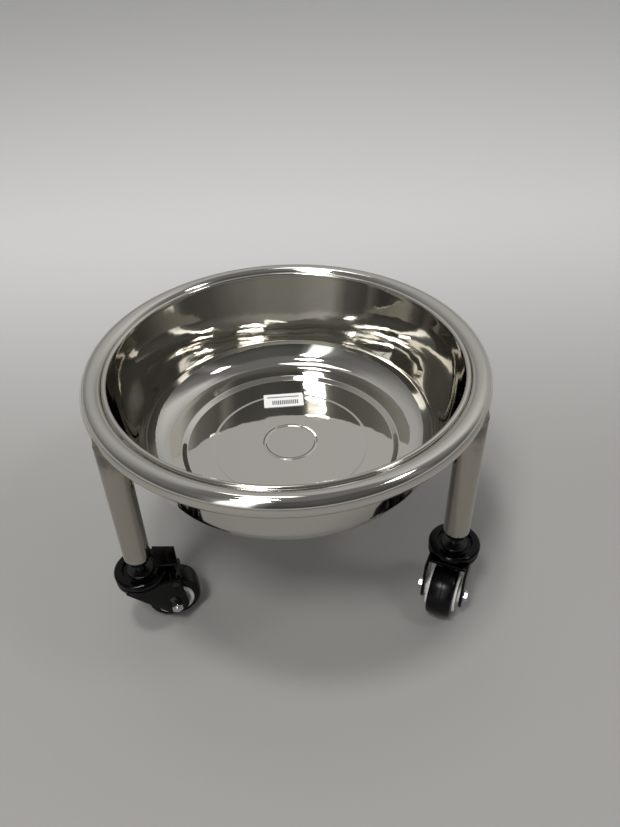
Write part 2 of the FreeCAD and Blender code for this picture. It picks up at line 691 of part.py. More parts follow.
def make_hub(side):
    """White hub: boss, web, rim and two flanges that hold the tread."""
    body = new_body(f"wheel_hub_{side}")
    sketch = new_sketch(body, "section", "XY_Plane")
    boss_end = "dims.fork_half_gap - dims.hub_end_gap"
    flange_end = "dims.tread_half_width + dims.flange_thickness"
    draw_polygon(sketch, mirrored([
        (TREAD_SEAT_R, "dims.tread_half_width"),
        (f"{TREAD_SEAT_R} + dims.flange_lip", "dims.tread_half_width"),
        (f"{TREAD_SEAT_R} + dims.flange_lip", flange_end),
        (f"{TREAD_SEAT_R} - dims.hub_rim_thickness / 2", flange_end),
        (f"{TREAD_SEAT_R} - dims.hub_rim_thickness", "dims.hub_web_half"),
        ("dims.hub_boss_radius", "dims.hub_web_half"),
        ("dims.hub_boss_radius", boss_end),
        ("dims.sleeve_radius + dims.bearing_gap", boss_end),
    ]))
    revolve(body, "hub", sketch)
    place_on_axle(body, side)
    return body


def make_tyre(side):
    """Black tread, crowned, with round shoulders."""
    body = new_body(f"wheel_tyre_{side}")
    sketch = new_sketch(body, "section", "XY_Plane")
    half = "(dims.tread_half_width - dims.fit_gap)"
    seat = f"{TREAD_SEAT_R} + dims.fit_gap"
    edge = "dims.wheel_radius - dims.tread_crown"
    crown = f"({half}^2 + dims.tread_crown^2) / (2 * dims.tread_crown)"
    low_edge, high_edge = (edge, f"-{half}"), (edge, half)
    low_seat, high_seat = (seat, f"-{half}"), (seat, half)
    for start, end in ((high_edge, high_seat), (high_seat, low_seat), (low_seat, low_edge)):
        sketch.addGeometry(Part.LineSegment(to_vector(start), to_vector(end)), False)
    middle = Vector(size("dims.wheel_radius"), 0, 0)
    tread = sketch.addGeometry(Part.Arc(to_vector(low_edge), middle, to_vector(high_edge)), False)
    for item, point in enumerate((high_edge, high_seat, low_seat)):
        bind_point(sketch, item, 1, point)
    bind_point(sketch, 2, 2, low_edge)
    for item, end, other, start in ((0, 2, 1, 1), (1, 2, 2, 1), (2, 2, tread, 1), (tread, 2, 0, 1)):
        sketch.addConstraint(Sketcher.Constraint("Coincident", item, end, other, start))
    bind(sketch, "Radius", crown, tread)
    band = revolve(body, "band", sketch)
    round_edges(body, "shoulders", band, "dims.tread_shoulder_round", circle_at(edge))
    place_on_axle(body, side)
    return body


def make_sleeve(side):
    """Spacer tube that the hub turns on, clamped between the side plates."""
    body = new_body(f"axle_sleeve_{side}")
    sketch = new_sketch(body, "section", "XY_Plane")
    bore = "dims.axle_radius + dims.fit_gap"
    draw_polygon(sketch, mirrored([
        ("dims.sleeve_radius", "dims.fork_half_gap"),
        (bore, "dims.fork_half_gap"),
    ]))
    revolve(body, "sleeve", sketch)
    place_on_axle(body, side)
    return body


def make_axle_bolt(side):
    """Axle bolt with its hexagonal head outside one side plate."""
    body = new_body(f"axle_bolt_{side}")
    head = new_sketch(body, "head_outline", "XZ_Plane", f"-{FORK_HALF_WIDTH} - dims.axle_head_height")
    draw_hexagon(head, "dims.axle_flats")
    pad(body, "head", head, "dims.axle_head_height")
    shank = new_sketch(body, "shank_outline", "XZ_Plane", f"-{FORK_HALF_WIDTH}")
    draw_circle(shank, CENTRE, "dims.axle_radius")
    length = f"2 * {FORK_HALF_WIDTH} + dims.axle_nut_height + dims.axle_thread_end"
    pad(body, "shank", shank, length)
    place_on_axle(body, side)
    return body


def make_axle_nut(side):
    """Nut of the axle bolt outside the other side plate."""
    body = new_body(f"axle_nut_{side}")
    sketch = new_sketch(body, "outline", "XZ_Plane", FORK_HALF_WIDTH)
    draw_hexagon(sketch, "dims.axle_flats")
    draw_circle(sketch, CENTRE, "dims.axle_radius + dims.fit_gap")
    pad(body, "nut", sketch, "dims.axle_nut_height")
    place_on_axle(body, side)
    return body


# %% Brake of the left castor. Places are measured from the brake's pin.


def from_pin(x, z):
    """A point of the brake in the castor's middle plane, by its place from the pin."""
    return (f"{BRAKE_X} + {x}", f"{BRAKE_Z} + {z}")


def make_brake_lever():
    """Lever with a tread plate over the castor's head, a barrel on the pin and a shoe."""
    body = new_body("brake_lever")
    inner_end = "(dims.brake_reach - dims.brake_tread_length)"
    inner_top = "(dims.brake_rise + dims.brake_tread_slope)"
    strip = new_sketch(body, "strip_outline", "XZ_Plane")
    draw_polygon(strip, [
        from_pin("dims.brake_sheet / 2", "0"),
        from_pin("dims.brake_reach", "dims.brake_rise"),
        from_pin(inner_end, inner_top),
        from_pin(inner_end, f"{inner_top} - dims.brake_sheet"),
        from_pin("dims.brake_reach - 1.6 * dims.brake_sheet", "dims.brake_rise - 0.7 * dims.brake_sheet"),
        from_pin("-dims.brake_sheet / 2", "0"),
    ])
    bent = pad(body, "strip", strip, "2 * dims.brake_half_width", middle=True)
    round_edges(body, "tip_round", bent, "dims.brake_sheet / 2", is_lever_tip)
    sides = new_sketch(body, "taper_outline", "XY_Plane")
    inner_x = f"{BRAKE_X} + {inner_end}"
    tip_x = f"{BRAKE_X} + dims.brake_reach"
    for sign in ("", "-"):
        draw_polygon(sides, [
            (inner_x, f"{sign}dims.brake_half_width"),
            (tip_x, f"{sign}dims.brake_tip_half_width"),
            (tip_x, f"{sign}{RIGHT_THROUGH}"),
            (inner_x, f"{sign}{RIGHT_THROUGH}"),
        ])
    pocket(body, "taper", sides, RIGHT_THROUGH)
    barrel = new_sketch(body, "barrel_outline", "XZ_Plane")
    draw_circle(barrel, from_pin("0", "0"), "dims.brake_barrel_radius")
    pad(body, "barrel", barrel, "2 * (dims.fork_half_gap - dims.hub_end_gap)", middle=True)
    shoe = new_sketch(body, "shoe_outline", "XZ_Plane")
    draw_polygon(shoe, [
        from_pin("0", "dims.brake_barrel_radius"),
        from_pin("0", "-dims.brake_barrel_radius"),
        from_pin("dims.shoe_reach - dims.brake_sheet / 2", "-dims.shoe_drop"),
        from_pin("dims.shoe_reach", "-dims.shoe_drop + dims.brake_sheet"),
    ])
    pad(body, "shoe", shoe, "2 * dims.shoe_half_width", middle=True)
    hole = new_sketch(body, "pin_hole", "XZ_Plane")
    draw_circle(hole, from_pin("0", "0"), "dims.brake_pin_radius + dims.bearing_gap")
    pocket(body, "bore", hole, RIGHT_THROUGH)
    place_on_castor(body, "left")
    return body


def is_lever_tip(edge):
    """The edge along the outer end of the tread plate."""
    box = edge.BoundBox
    tip = to_vector(from_pin("dims.brake_reach", "dims.brake_rise"))
    return abs(box.XMin - tip.x) < 1e-4 and abs(box.ZMin - tip.y) < 1e-4 and box.YLength > 1


def make_brake_pin():
    """Pin through both side plates, headed at each end."""
    body = new_body("brake_pin")
    shank = new_sketch(body, "shank_outline", "XZ_Plane")
    draw_circle(shank, from_pin("0", "0"), "dims.brake_pin_radius")
    pad(body, "shank", shank, f"2 * {FORK_HALF_WIDTH}", middle=True)
    for end, offset in (("near", FORK_HALF_WIDTH), ("far", f"-{FORK_HALF_WIDTH} - dims.brake_pin_head")):
        head = new_sketch(body, f"{end}_outline", "XZ_Plane", offset)
        draw_circle(head, from_pin("0", "0"), "dims.brake_pin_radius + dims.brake_pin_lip")
        pad(body, f"{end}_head", head, "dims.brake_pin_head")
    place_on_castor(body, "left")
    return body


def make_brake_spring():
    """Leaf spring flat under the fork's crown, with its free end at the lever's barrel."""
    body = new_body("brake_spring")
    sketch = new_sketch(body, "outline", "XY_Plane", f"{CROWN_Z} - dims.spring_thickness")
    tip = f"{BRAKE_X} - dims.brake_barrel_radius - dims.spring_gap"
    half = "dims.spring_half_width"
    draw_box(sketch, f"{tip} - dims.spring_length", tip, f"-{half}", half)
    pad(body, "leaf", sketch, "dims.spring_thickness")
    place_on_castor(body, "left")
    return body


# %% Assembly


def make_castor(side):
    """All pieces of one castor."""
    makers = (make_stem, make_stem_nut, make_top_race, make_lower_race, make_fork)
    wheel = (make_sleeve, make_axle_bolt, make_axle_nut, make_hub, make_tyre)
    balls = [make_balls("upper", side, UPPER_BALL_Z), make_balls("lower", side, LOWER_BALL_Z)]
    return [make(side) for make in makers + wheel] + balls


def check_document(parts):
    """Stop if any object failed or any part has no sound shape."""
    for item in doc.Objects:
        if "Invalid" in item.State or "Error" in item.State:
            raise RuntimeError(f"{item.Label} failed: {item.State}")
    for part in parts:
        if part.Shape.isNull() or not part.Shape.isValid() or part.Shape.Volume <= 0:
            raise RuntimeError(f"{part.Label} has no sound shape")


def build():
    """Every part of the kick bucket."""
    parts = [make_ring(), make_bowl(), make_label()]
    for side in SIDES:
        parts += [make_leg(side), make_leg_weld(side), make_leg_insert(side)]
        parts += make_castor(side)
    parts += [make_brake_lever(), make_brake_pin(), make_brake_spring()]
    doc.recompute()
    return parts


model = build()
check_document(model)
for node in model:
    node.Shape.exportStep(f"parts/{node.Label}.step")
    solids = len(node.Shape.Solids)
    print(f"{node.Label}: {solids} solid(s), {node.Shape.Volume:.0f} mm3")
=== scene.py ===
# %% [markdown]
# # Dressing a kick bucket
#
# A kick bucket is a loose steel bowl that hangs in a ring on three castored legs. Theatre staff
# push it about with a foot. The moving frame, the sizes and the joints come from the packed
# model. This script gives each piece the surface that you would see: mirror-polished sheet,
# ground tube, glossy black enamel, white nylon and smooth rubber.

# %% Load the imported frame
import json
import math
import random

import bmesh
import bpy
from mathutils import Matrix, Vector


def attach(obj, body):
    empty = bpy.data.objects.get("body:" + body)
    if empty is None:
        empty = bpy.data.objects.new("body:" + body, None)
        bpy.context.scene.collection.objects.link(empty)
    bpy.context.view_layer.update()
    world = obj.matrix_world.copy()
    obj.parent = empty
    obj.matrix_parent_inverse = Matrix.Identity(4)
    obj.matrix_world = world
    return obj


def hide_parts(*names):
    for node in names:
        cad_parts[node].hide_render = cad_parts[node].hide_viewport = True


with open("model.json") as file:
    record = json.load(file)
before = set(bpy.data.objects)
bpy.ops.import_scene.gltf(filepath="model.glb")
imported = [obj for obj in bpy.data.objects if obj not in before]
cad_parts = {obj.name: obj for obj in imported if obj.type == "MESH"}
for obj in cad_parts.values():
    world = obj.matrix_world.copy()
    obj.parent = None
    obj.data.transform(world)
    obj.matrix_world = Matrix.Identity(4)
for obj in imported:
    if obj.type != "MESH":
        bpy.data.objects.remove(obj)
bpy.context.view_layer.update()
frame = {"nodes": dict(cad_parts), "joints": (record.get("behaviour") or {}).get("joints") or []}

# %% [markdown]
# ## Where things are
#
# Every length below is written in millimetres, as it would be on the maker's drawing, and turned
# into metres only when a mesh is made. The axes of the castors and wheels are read from the
# joints, so nothing has to be fitted by hand.

# %% Sizes on the drawing, in millimetres
MM = 0.001
SIDES = ("left", "right", "back")

RING_Z = 230.0
RING_PITCH = 175.0
RING_TUBE_R = 10.0
LEG_R = 12.5
LEG_WALL = 1.5
LEG_FOOT_Z = 87.5

WHEEL_R = 26.0
CASTOR_OFFSET = 26.0
RACE_Z = 65.0
DISH_Z = 68.0
HEAD_RIM_Z = 70.5
COLLAR_Z = 69.6
NUT_Z = 79.5
HEAD_R = 25.0
FORK_HALF_GAP = 17.5
FORK_PLATE = 2.5


def joint(name):
    """A joint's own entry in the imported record."""
    return next(item for item in frame["joints"] if item["name"] == name)


def upright(place, towards):
    """From millimetres above a place on the floor, with +X in a given direction, to the part's metres."""
    turn = Matrix.Rotation(math.atan2(towards.y, towards.x), 4, "Z")
    return Matrix.Translation((place.x, place.y, 0.0)) @ turn @ Matrix.Scale(MM, 4)


def castor_matrix(side):
    """A castor's own frame: +X trails and +Y runs along the axle."""
    swivel = Vector(joint(f"castor_swivel_{side}")["pos_m"])
    return upright(swivel, Vector(joint(f"wheel_spin_{side}")["pos_m"]) - swivel)


def leg_matrix(side):
    """A leg's own frame: +X points away from the ring's centre."""
    swivel = Vector(joint(f"castor_swivel_{side}")["pos_m"])
    return upright(swivel, swivel)


CASTOR = {side: castor_matrix(side) for side in SIDES}
LEG = {side: leg_matrix(side) for side in SIDES}
TO_AXLE = Matrix.Translation((CASTOR_OFFSET, 0.0, WHEEL_R)) @ Matrix.Rotation(-math.pi / 2, 4, "X")
AXLE = {side: CASTOR[side] @ TO_AXLE for side in SIDES}
for side in SIDES:
    print(side, "swivel axis at", [round(v, 4) for v in CASTOR[side].translation])

# %% [markdown]
# ## Helpers for materials
#
# `add` makes one node, sets it and links it. `linear` turns a hex colour, as a paint chart gives
# it, into the linear numbers that the shader wants.

# %% Nodes and colours


def linear(hex_colour):
    """A hex colour as linear red, green, blue and alpha."""
    parts = [int(hex_colour[i:i + 2], 16) / 255 for i in (1, 3, 5)]
    return tuple(c / 12.92 if c <= 0.04045 else ((c + 0.055) / 1.055) ** 2.4 for c in parts) + (1.0,)


def add(tree, kind, inputs=None, **settings):
    """One node with its settings and inputs. An input is a value, or the socket that feeds it."""
    made = tree.nodes.new(kind)
    for name, value in settings.items():
        setattr(made, name, value)
    for name, value in (inputs or {}).items():
        socket = made.inputs[name]
        if isinstance(value, bpy.types.NodeSocket):
            tree.links.new(value, socket)
        else:
            socket.default_value = value
    return made


def start_material(name):
    """An empty node material with its output, and Object coordinates."""
    material = bpy.data.materials.new(name)
    material.use_nodes = True
    tree = material.node_tree
    tree.nodes.clear()
    output = add(tree, "ShaderNodeOutputMaterial")
    place = add(tree, "ShaderNodeTexCoord").outputs["Object"]
    return material, tree, output, place


def noise(tree, place, spacing, detail):
    """Soft noise whose features are about this many millimetres apart."""
    inputs = {"Vector": place, "Scale": 1.0 / (spacing * MM), "Detail": detail}
    return add(tree, "ShaderNodeTexNoise", inputs).outputs["Fac"]


def relief(tree, height, strength, depth, under=None):
    """A bump of this many millimetres, laid over another one where that is given."""
    inputs = {"Height": height, "Strength": strength, "Distance": depth * MM}
    if under:
        inputs["Normal"] = under
    return add(tree, "ShaderNodeBump", inputs).outputs["Normal"]


def axis_distance(tree, place):
    """Distance from the part's upright axis, and height above the floor."""
    flat = add(tree, "ShaderNodeVectorMath", {0: place, 1: (1.0, 1.0, 0.0)}, operation="MULTIPLY")
    radius = add(tree, "ShaderNodeVectorMath", {0: flat.outputs["Vector"]}, operation="LENGTH")
    height = add(tree, "ShaderNodeSeparateXYZ", {"Vector": place})
    return radius.outputs["Value"], height.outputs["Z"]


def finish_material(tree, output, shader):
    """Link the surface shader to the output."""
    tree.links.new(shader.outputs["BSDF"], output.inputs["Surface"])


# %% [markdown]
# ## Stainless steel, three ways
#
# All of the bright metal is grade 304 sheet and tube, one warm grey, but the legs' grey is painted
# darker, as painted shade for the shaded floor that they mirror. Otherwise what differs is how the
# surface was finished. The bowl was spun over a former and then buffed, so it is nearly a mirror,
# with faint rings round its axis. The ring was buffed along the tube. The legs were only
# belt-ground, so they have a soft sheen drawn out along their length.

# %% Mirror-polished spun sheet
STAINLESS = linear("#CFCCC4")


def smudge(tree, place, spacing, low, high):
    """A slow drift of roughness: fingerprints, wiped areas and polish."""
    drift = add(tree, "ShaderNodeMapRange", {
        "Value": noise(tree, place, spacing, 4.0),
        "From Min": 0.35,
        "From Max": 0.65,
        "To Min": low,
        "To Max": high,
    })
    return drift.outputs["Result"]


def spun_steel():
    """Spun and buffed 304 sheet: a mirror with faint rings about the bowl's axis and slow waves."""
    material, tree, output, place = start_material("mirror_polished_spun_304")
    radius, height = axis_distance(tree, place)
    along = add(tree, "ShaderNodeMath", {0: radius, 1: height}, operation="SUBTRACT")
    rings = add(tree, "ShaderNodeTexNoise", {
        "W": along.outputs["Value"],
        "Scale": 1.0 / (2.2 * MM),
        "Detail": 3.0,
    }, noise_dimensions="1D")
    fine = relief(tree, rings.outputs["Fac"], 0.10, 0.03)
    dents = relief(tree, noise(tree, place, 14.0, 1.0), 0.5, 0.12, fine)
    waves = relief(tree, noise(tree, place, 45.0, 1.0), 0.5, 0.6, dents)
    shader = add(tree, "ShaderNodeBsdfPrincipled", {
        "Base Color": STAINLESS,
        "Metallic": 1.0,
        "Roughness": smudge(tree, place, 60.0, 0.02, 0.06),
        "Normal": waves,
    })
    finish_material(tree, output, shader)
    return material


def buffed_tube():
    """Ring tube, buffed round the ring: a bright surface with fine lines that follow the bend."""
    material, tree, output, place = start_material("buffed_304_ring_tube")
    radius, height = axis_distance(tree, place)
    across = add(tree, "ShaderNodeCombineXYZ", {"X": radius, "Y": height})
    lines = relief(tree, noise(tree, across.outputs["Vector"], 0.9, 2.0), 0.10, 0.04)
    waves = relief(tree, noise(tree, place, 25.0, 2.0), 0.4, 0.3, lines)
    shader = add(tree, "ShaderNodeBsdfPrincipled", {
        "Base Color": STAINLESS,
        "Metallic": 1.0,
        "Roughness": smudge(tree, place, 40.0, 0.04, 0.08),
        "Normal": waves,
    })
    finish_material(tree, output, shader)
    return material


def ground_tube():
    """Leg tube, belt-ground along its length, in a darker grey that is painted shade, with a heat tint where
    it is welded to the ring.
    """
    material, tree, output, place = start_material("belt_ground_304_leg_tube")
    drawn = add(tree, "ShaderNodeMapping", {"Vector": place, "Scale": (1.0, 1.0, 0.02)})
    grain = noise(tree, drawn.outputs["Vector"], 0.5, 3.0)
    height = add(tree, "ShaderNodeSeparateXYZ", {"Vector": place})
    ragged = add(tree, "ShaderNodeMath", {
        0: noise(tree, place, 9.0, 3.0),
        1: 0.03,
        2: height.outputs["Z"],
    }, operation="MULTIPLY_ADD")
    heat = add(tree, "ShaderNodeMapRange", {
        "Value": ragged.outputs["Value"],
        "From Min": 0.212,
        "From Max": 0.236,
    }, interpolation_type="SMOOTHSTEP")
    tint = add(tree, "ShaderNodeMix", {
        "Factor": heat.outputs["Result"],
        # The leg's grey is darker than the bowl's and ring's: painted shade for the shaded floor that the
        # legs mirror.
        "A": linear("#AFAAA0"),
        "B": linear("#7F7C76"),
    }, data_type="RGBA")
    shader = add(tree, "ShaderNodeBsdfPrincipled", {
        "Base Color": tint.outputs["Result"],
        "Metallic": 1.0,
        "Roughness": smudge(tree, place, 30.0, 0.11, 0.17),
        "Normal": relief(tree, grain, 0.12, 0.05),
    })
    finish_material(tree, output, shader)
    return material


# %% [markdown]
# ## The castors' finishes
#
# The pressed steel heads and forks are dipped in black enamel, which dries glossy with a faint
# orange peel. The treads are hard black rubber, the hubs white nylon, and the bolts and nuts are
# bright zinc.

# %% Enamel, rubber, nylon, zinc and the rest


def plain_finish(name, colour, metallic, spacing, low, high, peel, depth, ior=1.5):
    """A solid finish: one colour with a slow drift of tone and gloss, and a fine bump."""
    material, tree, output, place = start_material(name)
    dark = linear(colour)
    tone = add(tree, "ShaderNodeMix", {
        "Factor": noise(tree, place, spacing, 5.0),
        "A": dark,
        "B": tuple(min(1.0, c * 1.12 + 0.0004) for c in dark[:3]) + (1.0,),
    }, data_type="RGBA")
    shader = add(tree, "ShaderNodeBsdfPrincipled", {
        "Base Color": tone.outputs["Result"],
        "Metallic": metallic,
        "IOR": ior,
        "Roughness": smudge(tree, place, spacing, low, high),
        "Normal": relief(tree, noise(tree, place, peel, 2.0), 0.4, depth),
    })
    finish_material(tree, output, shader)
    return material


MATERIALS = {
    "bowl": spun_steel(),
    "ring": buffed_tube(),
    "leg": ground_tube(),
    "weld": plain_finish("dressed_304_weld_bead", "#8E887D", 1.0, 6.0, 0.16, 0.34, 1.2, 0.08),
    "enamel": plain_finish("black_dipped_enamel", "#020202", 0.0, 20.0, 0.06, 0.14, 2.5, 0.02, 1.27),
    "blacked": plain_finish("black_oxide_steel", "#0B0B0C", 0.0, 6.0, 0.22, 0.34, 1.0, 0.02, 1.45),
    "rubber": plain_finish("smooth_black_rubber", "#040404", 0.0, 12.0, 0.20, 0.30, 0.8, 0.01, 1.30),
    "nylon": plain_finish("moulded_white_nylon", "#E6E5E1", 0.0, 15.0, 0.34, 0.46, 1.0, 0.02),
    "zinc": plain_finish("bright_zinc_plate", "#CFD0D1", 1.0, 5.0, 0.16, 0.30, 0.7, 0.02),
    "ball": plain_finish("polished_bearing_steel", "#C9C9C8", 1.0, 3.0, 0.08, 0.16, 1.0, 0.01),
    "spring": plain_finish("oiled_spring_steel", "#74716C", 1.0, 5.0, 0.22, 0.38, 0.8, 0.02),
    "film": plain_finish("white_label_film", "#EDEDEB", 0.0, 10.0, 0.30, 0.42, 0.6, 0.01),
    "ink": plain_finish("grey_label_ink", "#2E2F33", 0.0, 4.0, 0.45, 0.60, 0.6, 0.01),
}
print("materials:", len(MATERIALS))

# %% [markdown]
# ## Helpers for shapes
#
# Most pieces here were turned, spun or pressed round, so most are a profile that is swept about
# an axis. A profile is a short list of corners, each with its own radius, because no pressed
# edge is truly sharp: the small rounding is what catches the light. On a mirror finish, a smooth
# mesh also needs a row of points just before and after each bend, or the flat parts look bowed.

# %% Profiles and turned shapes


def rounded(corners, closed=True, steps=5, guard=0.25):
    """A profile whose corners (x, y, radius) become arcs, with a guard point beside each arc."""
    points = []
    count = len(corners)
    for index, corner in enumerate(corners):
        here = Vector(corner[:2])
        radius = corner[2] if len(corner) > 2 else 0.0
        if radius <= 0 or (not closed and index in (0, count - 1)):
            points.append(here)
            continue
        back = Vector(corners[index - 1][:2]) - here
        ahead = Vector(corners[(index + 1) % count][:2]) - here
        half = back.angle(ahead) / 2
        reach = radius / math.tan(half)
        centre = here + (back.normalized() + ahead.normalized()).normalized() * (radius / math.sin(half))
        first = here + back.normalized() * reach
        last = here + ahead.normalized() * reach
        sweep = (first - centre).angle(last - centre)
        turn = math.copysign(sweep, (first - centre).cross(last - centre))
        if guard and back.length > reach + 2 * guard:
            points.append(first + back.normalized() * guard)
        for step in range(steps + 1):
            angle = turn * step / steps
            arm = first - centre
            points.append(centre + Vector((arm.x * math.cos(angle) - arm.y * math.sin(angle),
                                           arm.x * math.sin(angle) + arm.y * math.cos(angle))))
        if guard and ahead.length > reach + 2 * guard:
            points.append(last + ahead.normalized() * guard)
    return points


def swept_faces(columns, rows, closed=True):
    """Faces between equal columns of points that stand round an axis."""
    faces = []
    for column in range(columns):
        here, there = column * rows, (column + 1) % columns * rows
        for row in range(rows if closed else rows - 1):
            after = (row + 1) % rows
            faces.append((here + row, there + row, there + after, here + after))
    return faces


def turned(profile, segments=96, closed=True, trim=None):
    """A shell of a profile (radius, height) swept about +Z. trim(angle, height) may limit the radius."""
    verts = []
    for step in range(segments):
        angle = 2 * math.pi * step / segments
        for radius, height in profile:
            reach = min(radius, trim(angle, height)) if trim else radius
            verts.append((reach * math.cos(angle), reach * math.sin(angle), height))
    return verts, swept_faces(segments, len(profile), closed)


def mirrored(half):
    """The corners of half an outline, again on the other side of its middle plane."""
    return [(x, -z, radius) for x, z, radius in reversed(half)]


def moved(shell, shift):
    """A shell shifted by a vector."""
    return [tuple(Vector(vert) + Vector(shift)) for vert in shell[0]], shell[1]


def hexagon(flats):
    """A limit on the radius that turns a round shape into a hexagon, by its width across flats."""
    return lambda angle, height: flats / 2 / math.cos((angle + math.pi / 6) % (math.pi / 3) - math.pi / 6)


def thread(radius, pitch, low, high):
    """A limit on the radius that cuts a right-hand thread between two heights."""
    def limit(angle, height):
        if not low <= height <= high:
            return radius * 4
        wave = math.cos(2 * math.pi * (height / pitch) - angle)
        return radius - 0.3 * pitch * (0.5 - 0.5 * wave)
    return limit


def frange(start, end, step):
    """Evenly spaced values from start to end, both included."""
    count = max(1, round(abs(end - start) / step))
    return [start + (end - start) * i / count for i in range(count + 1)]


# %% From shells to finished pieces


def smooth_mesh(name, shell, matrix, sharp=35.0):
    """A clean mesh of a shell in its place, smooth but for its sharp edges."""
    mesh = bpy.data.meshes.new(name)
    mesh.from_pydata([matrix @ Vector(vert) for vert in shell[0]], [], shell[1])
    tidy_mesh(mesh, sharp)
    return mesh


def tidy_mesh(mesh, sharp=35.0, merge=0.002):
    """Merge doubles, drop slivers, turn the faces outwards and smooth all but the sharp edges."""
    work = bmesh.new()
    work.from_mesh(mesh)
    bmesh.ops.remove_doubles(work, verts=work.verts, dist=merge * MM)
    bmesh.ops.dissolve_degenerate(work, edges=work.edges, dist=merge * MM / 2)
    bmesh.ops.recalc_face_normals(work, faces=work.faces)
    for face in work.faces:
        face.smooth = True
    for edge in work.edges:
        edge.smooth = len(edge.link_faces) == 2 and edge.calc_face_angle(0.0) < math.radians(sharp)
    work.to_mesh(mesh)
    work.free()


def put_on(name, mesh, body, finish=None, replaces=()):
    """Show a finished mesh, on its body, in place of the nodes that it stands for."""
    if finish:
        mesh.materials.clear()
        mesh.materials.append(MATERIALS[finish])
    piece = bpy.data.objects.new(name, mesh)
    bpy.context.scene.collection.objects.link(piece)
    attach(piece, body)
    if replaces:
        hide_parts(*replaces)
    print(f"{name}: {len(mesh.polygons)} faces")
    return piece


def make_piece(name, shell, matrix, body, slot, finish, *replaces):
    """A finished piece straight from a shell."""
    return put_on(name, smooth_mesh(name, shell, matrix), body, finish, replaces)


# %% [markdown]
# ## Growing what repeats
#
# A ring of balls, the ribs of a hub and the ring's own bent tube all follow a rule, so they are
# grown by Geometry Nodes. A tree is built once with named inputs for its sizes. Each use sets
# those inputs, evaluates the tree, and keeps only the plain mesh.

# %% Helpers for Geometry Nodes


def start_tree(name, sizes):
    """A geometry tree with one input for each named size and one for its finish."""
    tree = bpy.data.node_groups.new(name, "GeometryNodeTree")
    tree.interface.new_socket("Geometry", in_out="OUTPUT", socket_type="NodeSocketGeometry")
    for label, kind in sizes.items():
        tree.interface.new_socket(label, in_out="INPUT", socket_type=f"NodeSocket{kind}")
    tree.interface.new_socket("Finish", in_out="INPUT", socket_type="NodeSocketMaterial")
    return tree, add(tree, "NodeGroupInput").outputs


def end_tree(tree, inputs, geometry):
    """Shade smooth, realize the instances, set the finish and link the output."""
    smooth = add(tree, "GeometryNodeSetShadeSmooth", {"Geometry": geometry})
    real = add(tree, "GeometryNodeRealizeInstances", {"Geometry": smooth.outputs["Geometry"]})
    done = add(tree, "GeometryNodeSetMaterial", {
        "Geometry": real.outputs["Geometry"],
        "Material": inputs["Finish"],
    })
    add(tree, "NodeGroupOutput", {"Geometry": done.outputs["Geometry"]})


def grow(name, tree, finish, matrix, sizes):
    """Evaluate a tree with these sizes and keep the result as a plain mesh in its place."""
    maker = bpy.data.objects.new(f"{name}_maker", bpy.data.meshes.new(f"{name}_seed"))
    bpy.context.scene.collection.objects.link(maker)
    modifier = maker.modifiers.new("Grow", "NODES")
    modifier.node_group = tree
    for item in tree.interface.items_tree:
        if item.in_out == "INPUT":
            modifier[item.identifier] = MATERIALS[finish] if item.name == "Finish" else sizes[item.name]
    evaluated = maker.evaluated_get(bpy.context.evaluated_depsgraph_get())
    mesh = bpy.data.meshes.new_from_object(evaluated)
    mesh.name = name
    bpy.data.objects.remove(maker)
    mesh.transform(matrix)
    return mesh


# %% [markdown]
# ## The ring
#
# The ring is one length of 20 mm tube, rolled to a circle and welded end to end, with the joint
# ground away. Its shape is a plain rule: a small circle carried round a large one.

# %% Grow the ring
ring_tree, ring_in = start_tree("rolled_tube", {
    "Pitch radius": "Float",
    "Tube radius": "Float",
    "Height": "Float",
    "Steps round the ring": "Int",
    "Steps round the tube": "Int",
})
bend = add(ring_tree, "GeometryNodeCurvePrimitiveCircle", {
    "Radius": ring_in["Pitch radius"],
    "Resolution": ring_in["Steps round the ring"],
})
section = add(ring_tree, "GeometryNodeCurvePrimitiveCircle", {
    "Radius": ring_in["Tube radius"],
    "Resolution": ring_in["Steps round the tube"],
})
tube = add(ring_tree, "GeometryNodeCurveToMesh", {
    "Curve": bend.outputs["Curve"],
    "Profile Curve": section.outputs["Curve"],
})
lift = add(ring_tree, "ShaderNodeCombineXYZ", {"Z": ring_in["Height"]})
raised = add(ring_tree, "GeometryNodeTransform", {
    "Geometry": tube.outputs["Mesh"],
    "Translation": lift.outputs["Vector"],
})
end_tree(ring_tree, ring_in, raised.outputs["Geometry"])

ring_mesh = grow("ring", ring_tree, "ring", Matrix.Scale(MM, 4), {
    "Pitch radius": RING_PITCH,
    "Tube radius": RING_TUBE_R,
    "Height": RING_Z,
    "Steps round the ring": 320,
    "Steps round the tube": 48,
})
tidy_mesh(ring_mesh)
put_on("rolled_ring", ring_mesh, "frame", replaces=("ring_tube",))

# %% [markdown]
# ## Legs and their welds
#
# Each leg is a straight 25 mm tube. Its top is cut to a saddle, the cope, that fits the underside
# of the ring, and its foot is square with a small bevel. The weld is laid in the corner between
# the two tubes and dressed smooth, so it reads as a soft fillet with faint ripples. Both are
# swept about the leg's axis, with the height of each point worked out from the ring's own tube.

# %% Coped legs
WELD_DOWN = 3.4
WELD_OUT = 2.6
WELD_ROOT = 1.2
WELD_CLIMB = 2.4
WELD_BULGE = 0.45
FINE_RIPPLE = 0.20
SLOW_RIPPLE = 0.30
COPE_TOP = RING_Z - 3.0


def ring_offset(x, y):
    """How far a point of a leg's frame is outside the ring's pitch circle."""
    return math.hypot(RING_PITCH + x, y) - RING_PITCH


def cope_height(x, y):
    """Height at which an upright line through (x, y) meets the ring's tube from below."""
    offset = ring_offset(x, y)
    if abs(offset) >= RING_TUBE_R:
        return COPE_TOP
    return min(COPE_TOP, RING_Z - math.sqrt(RING_TUBE_R ** 2 - offset ** 2))


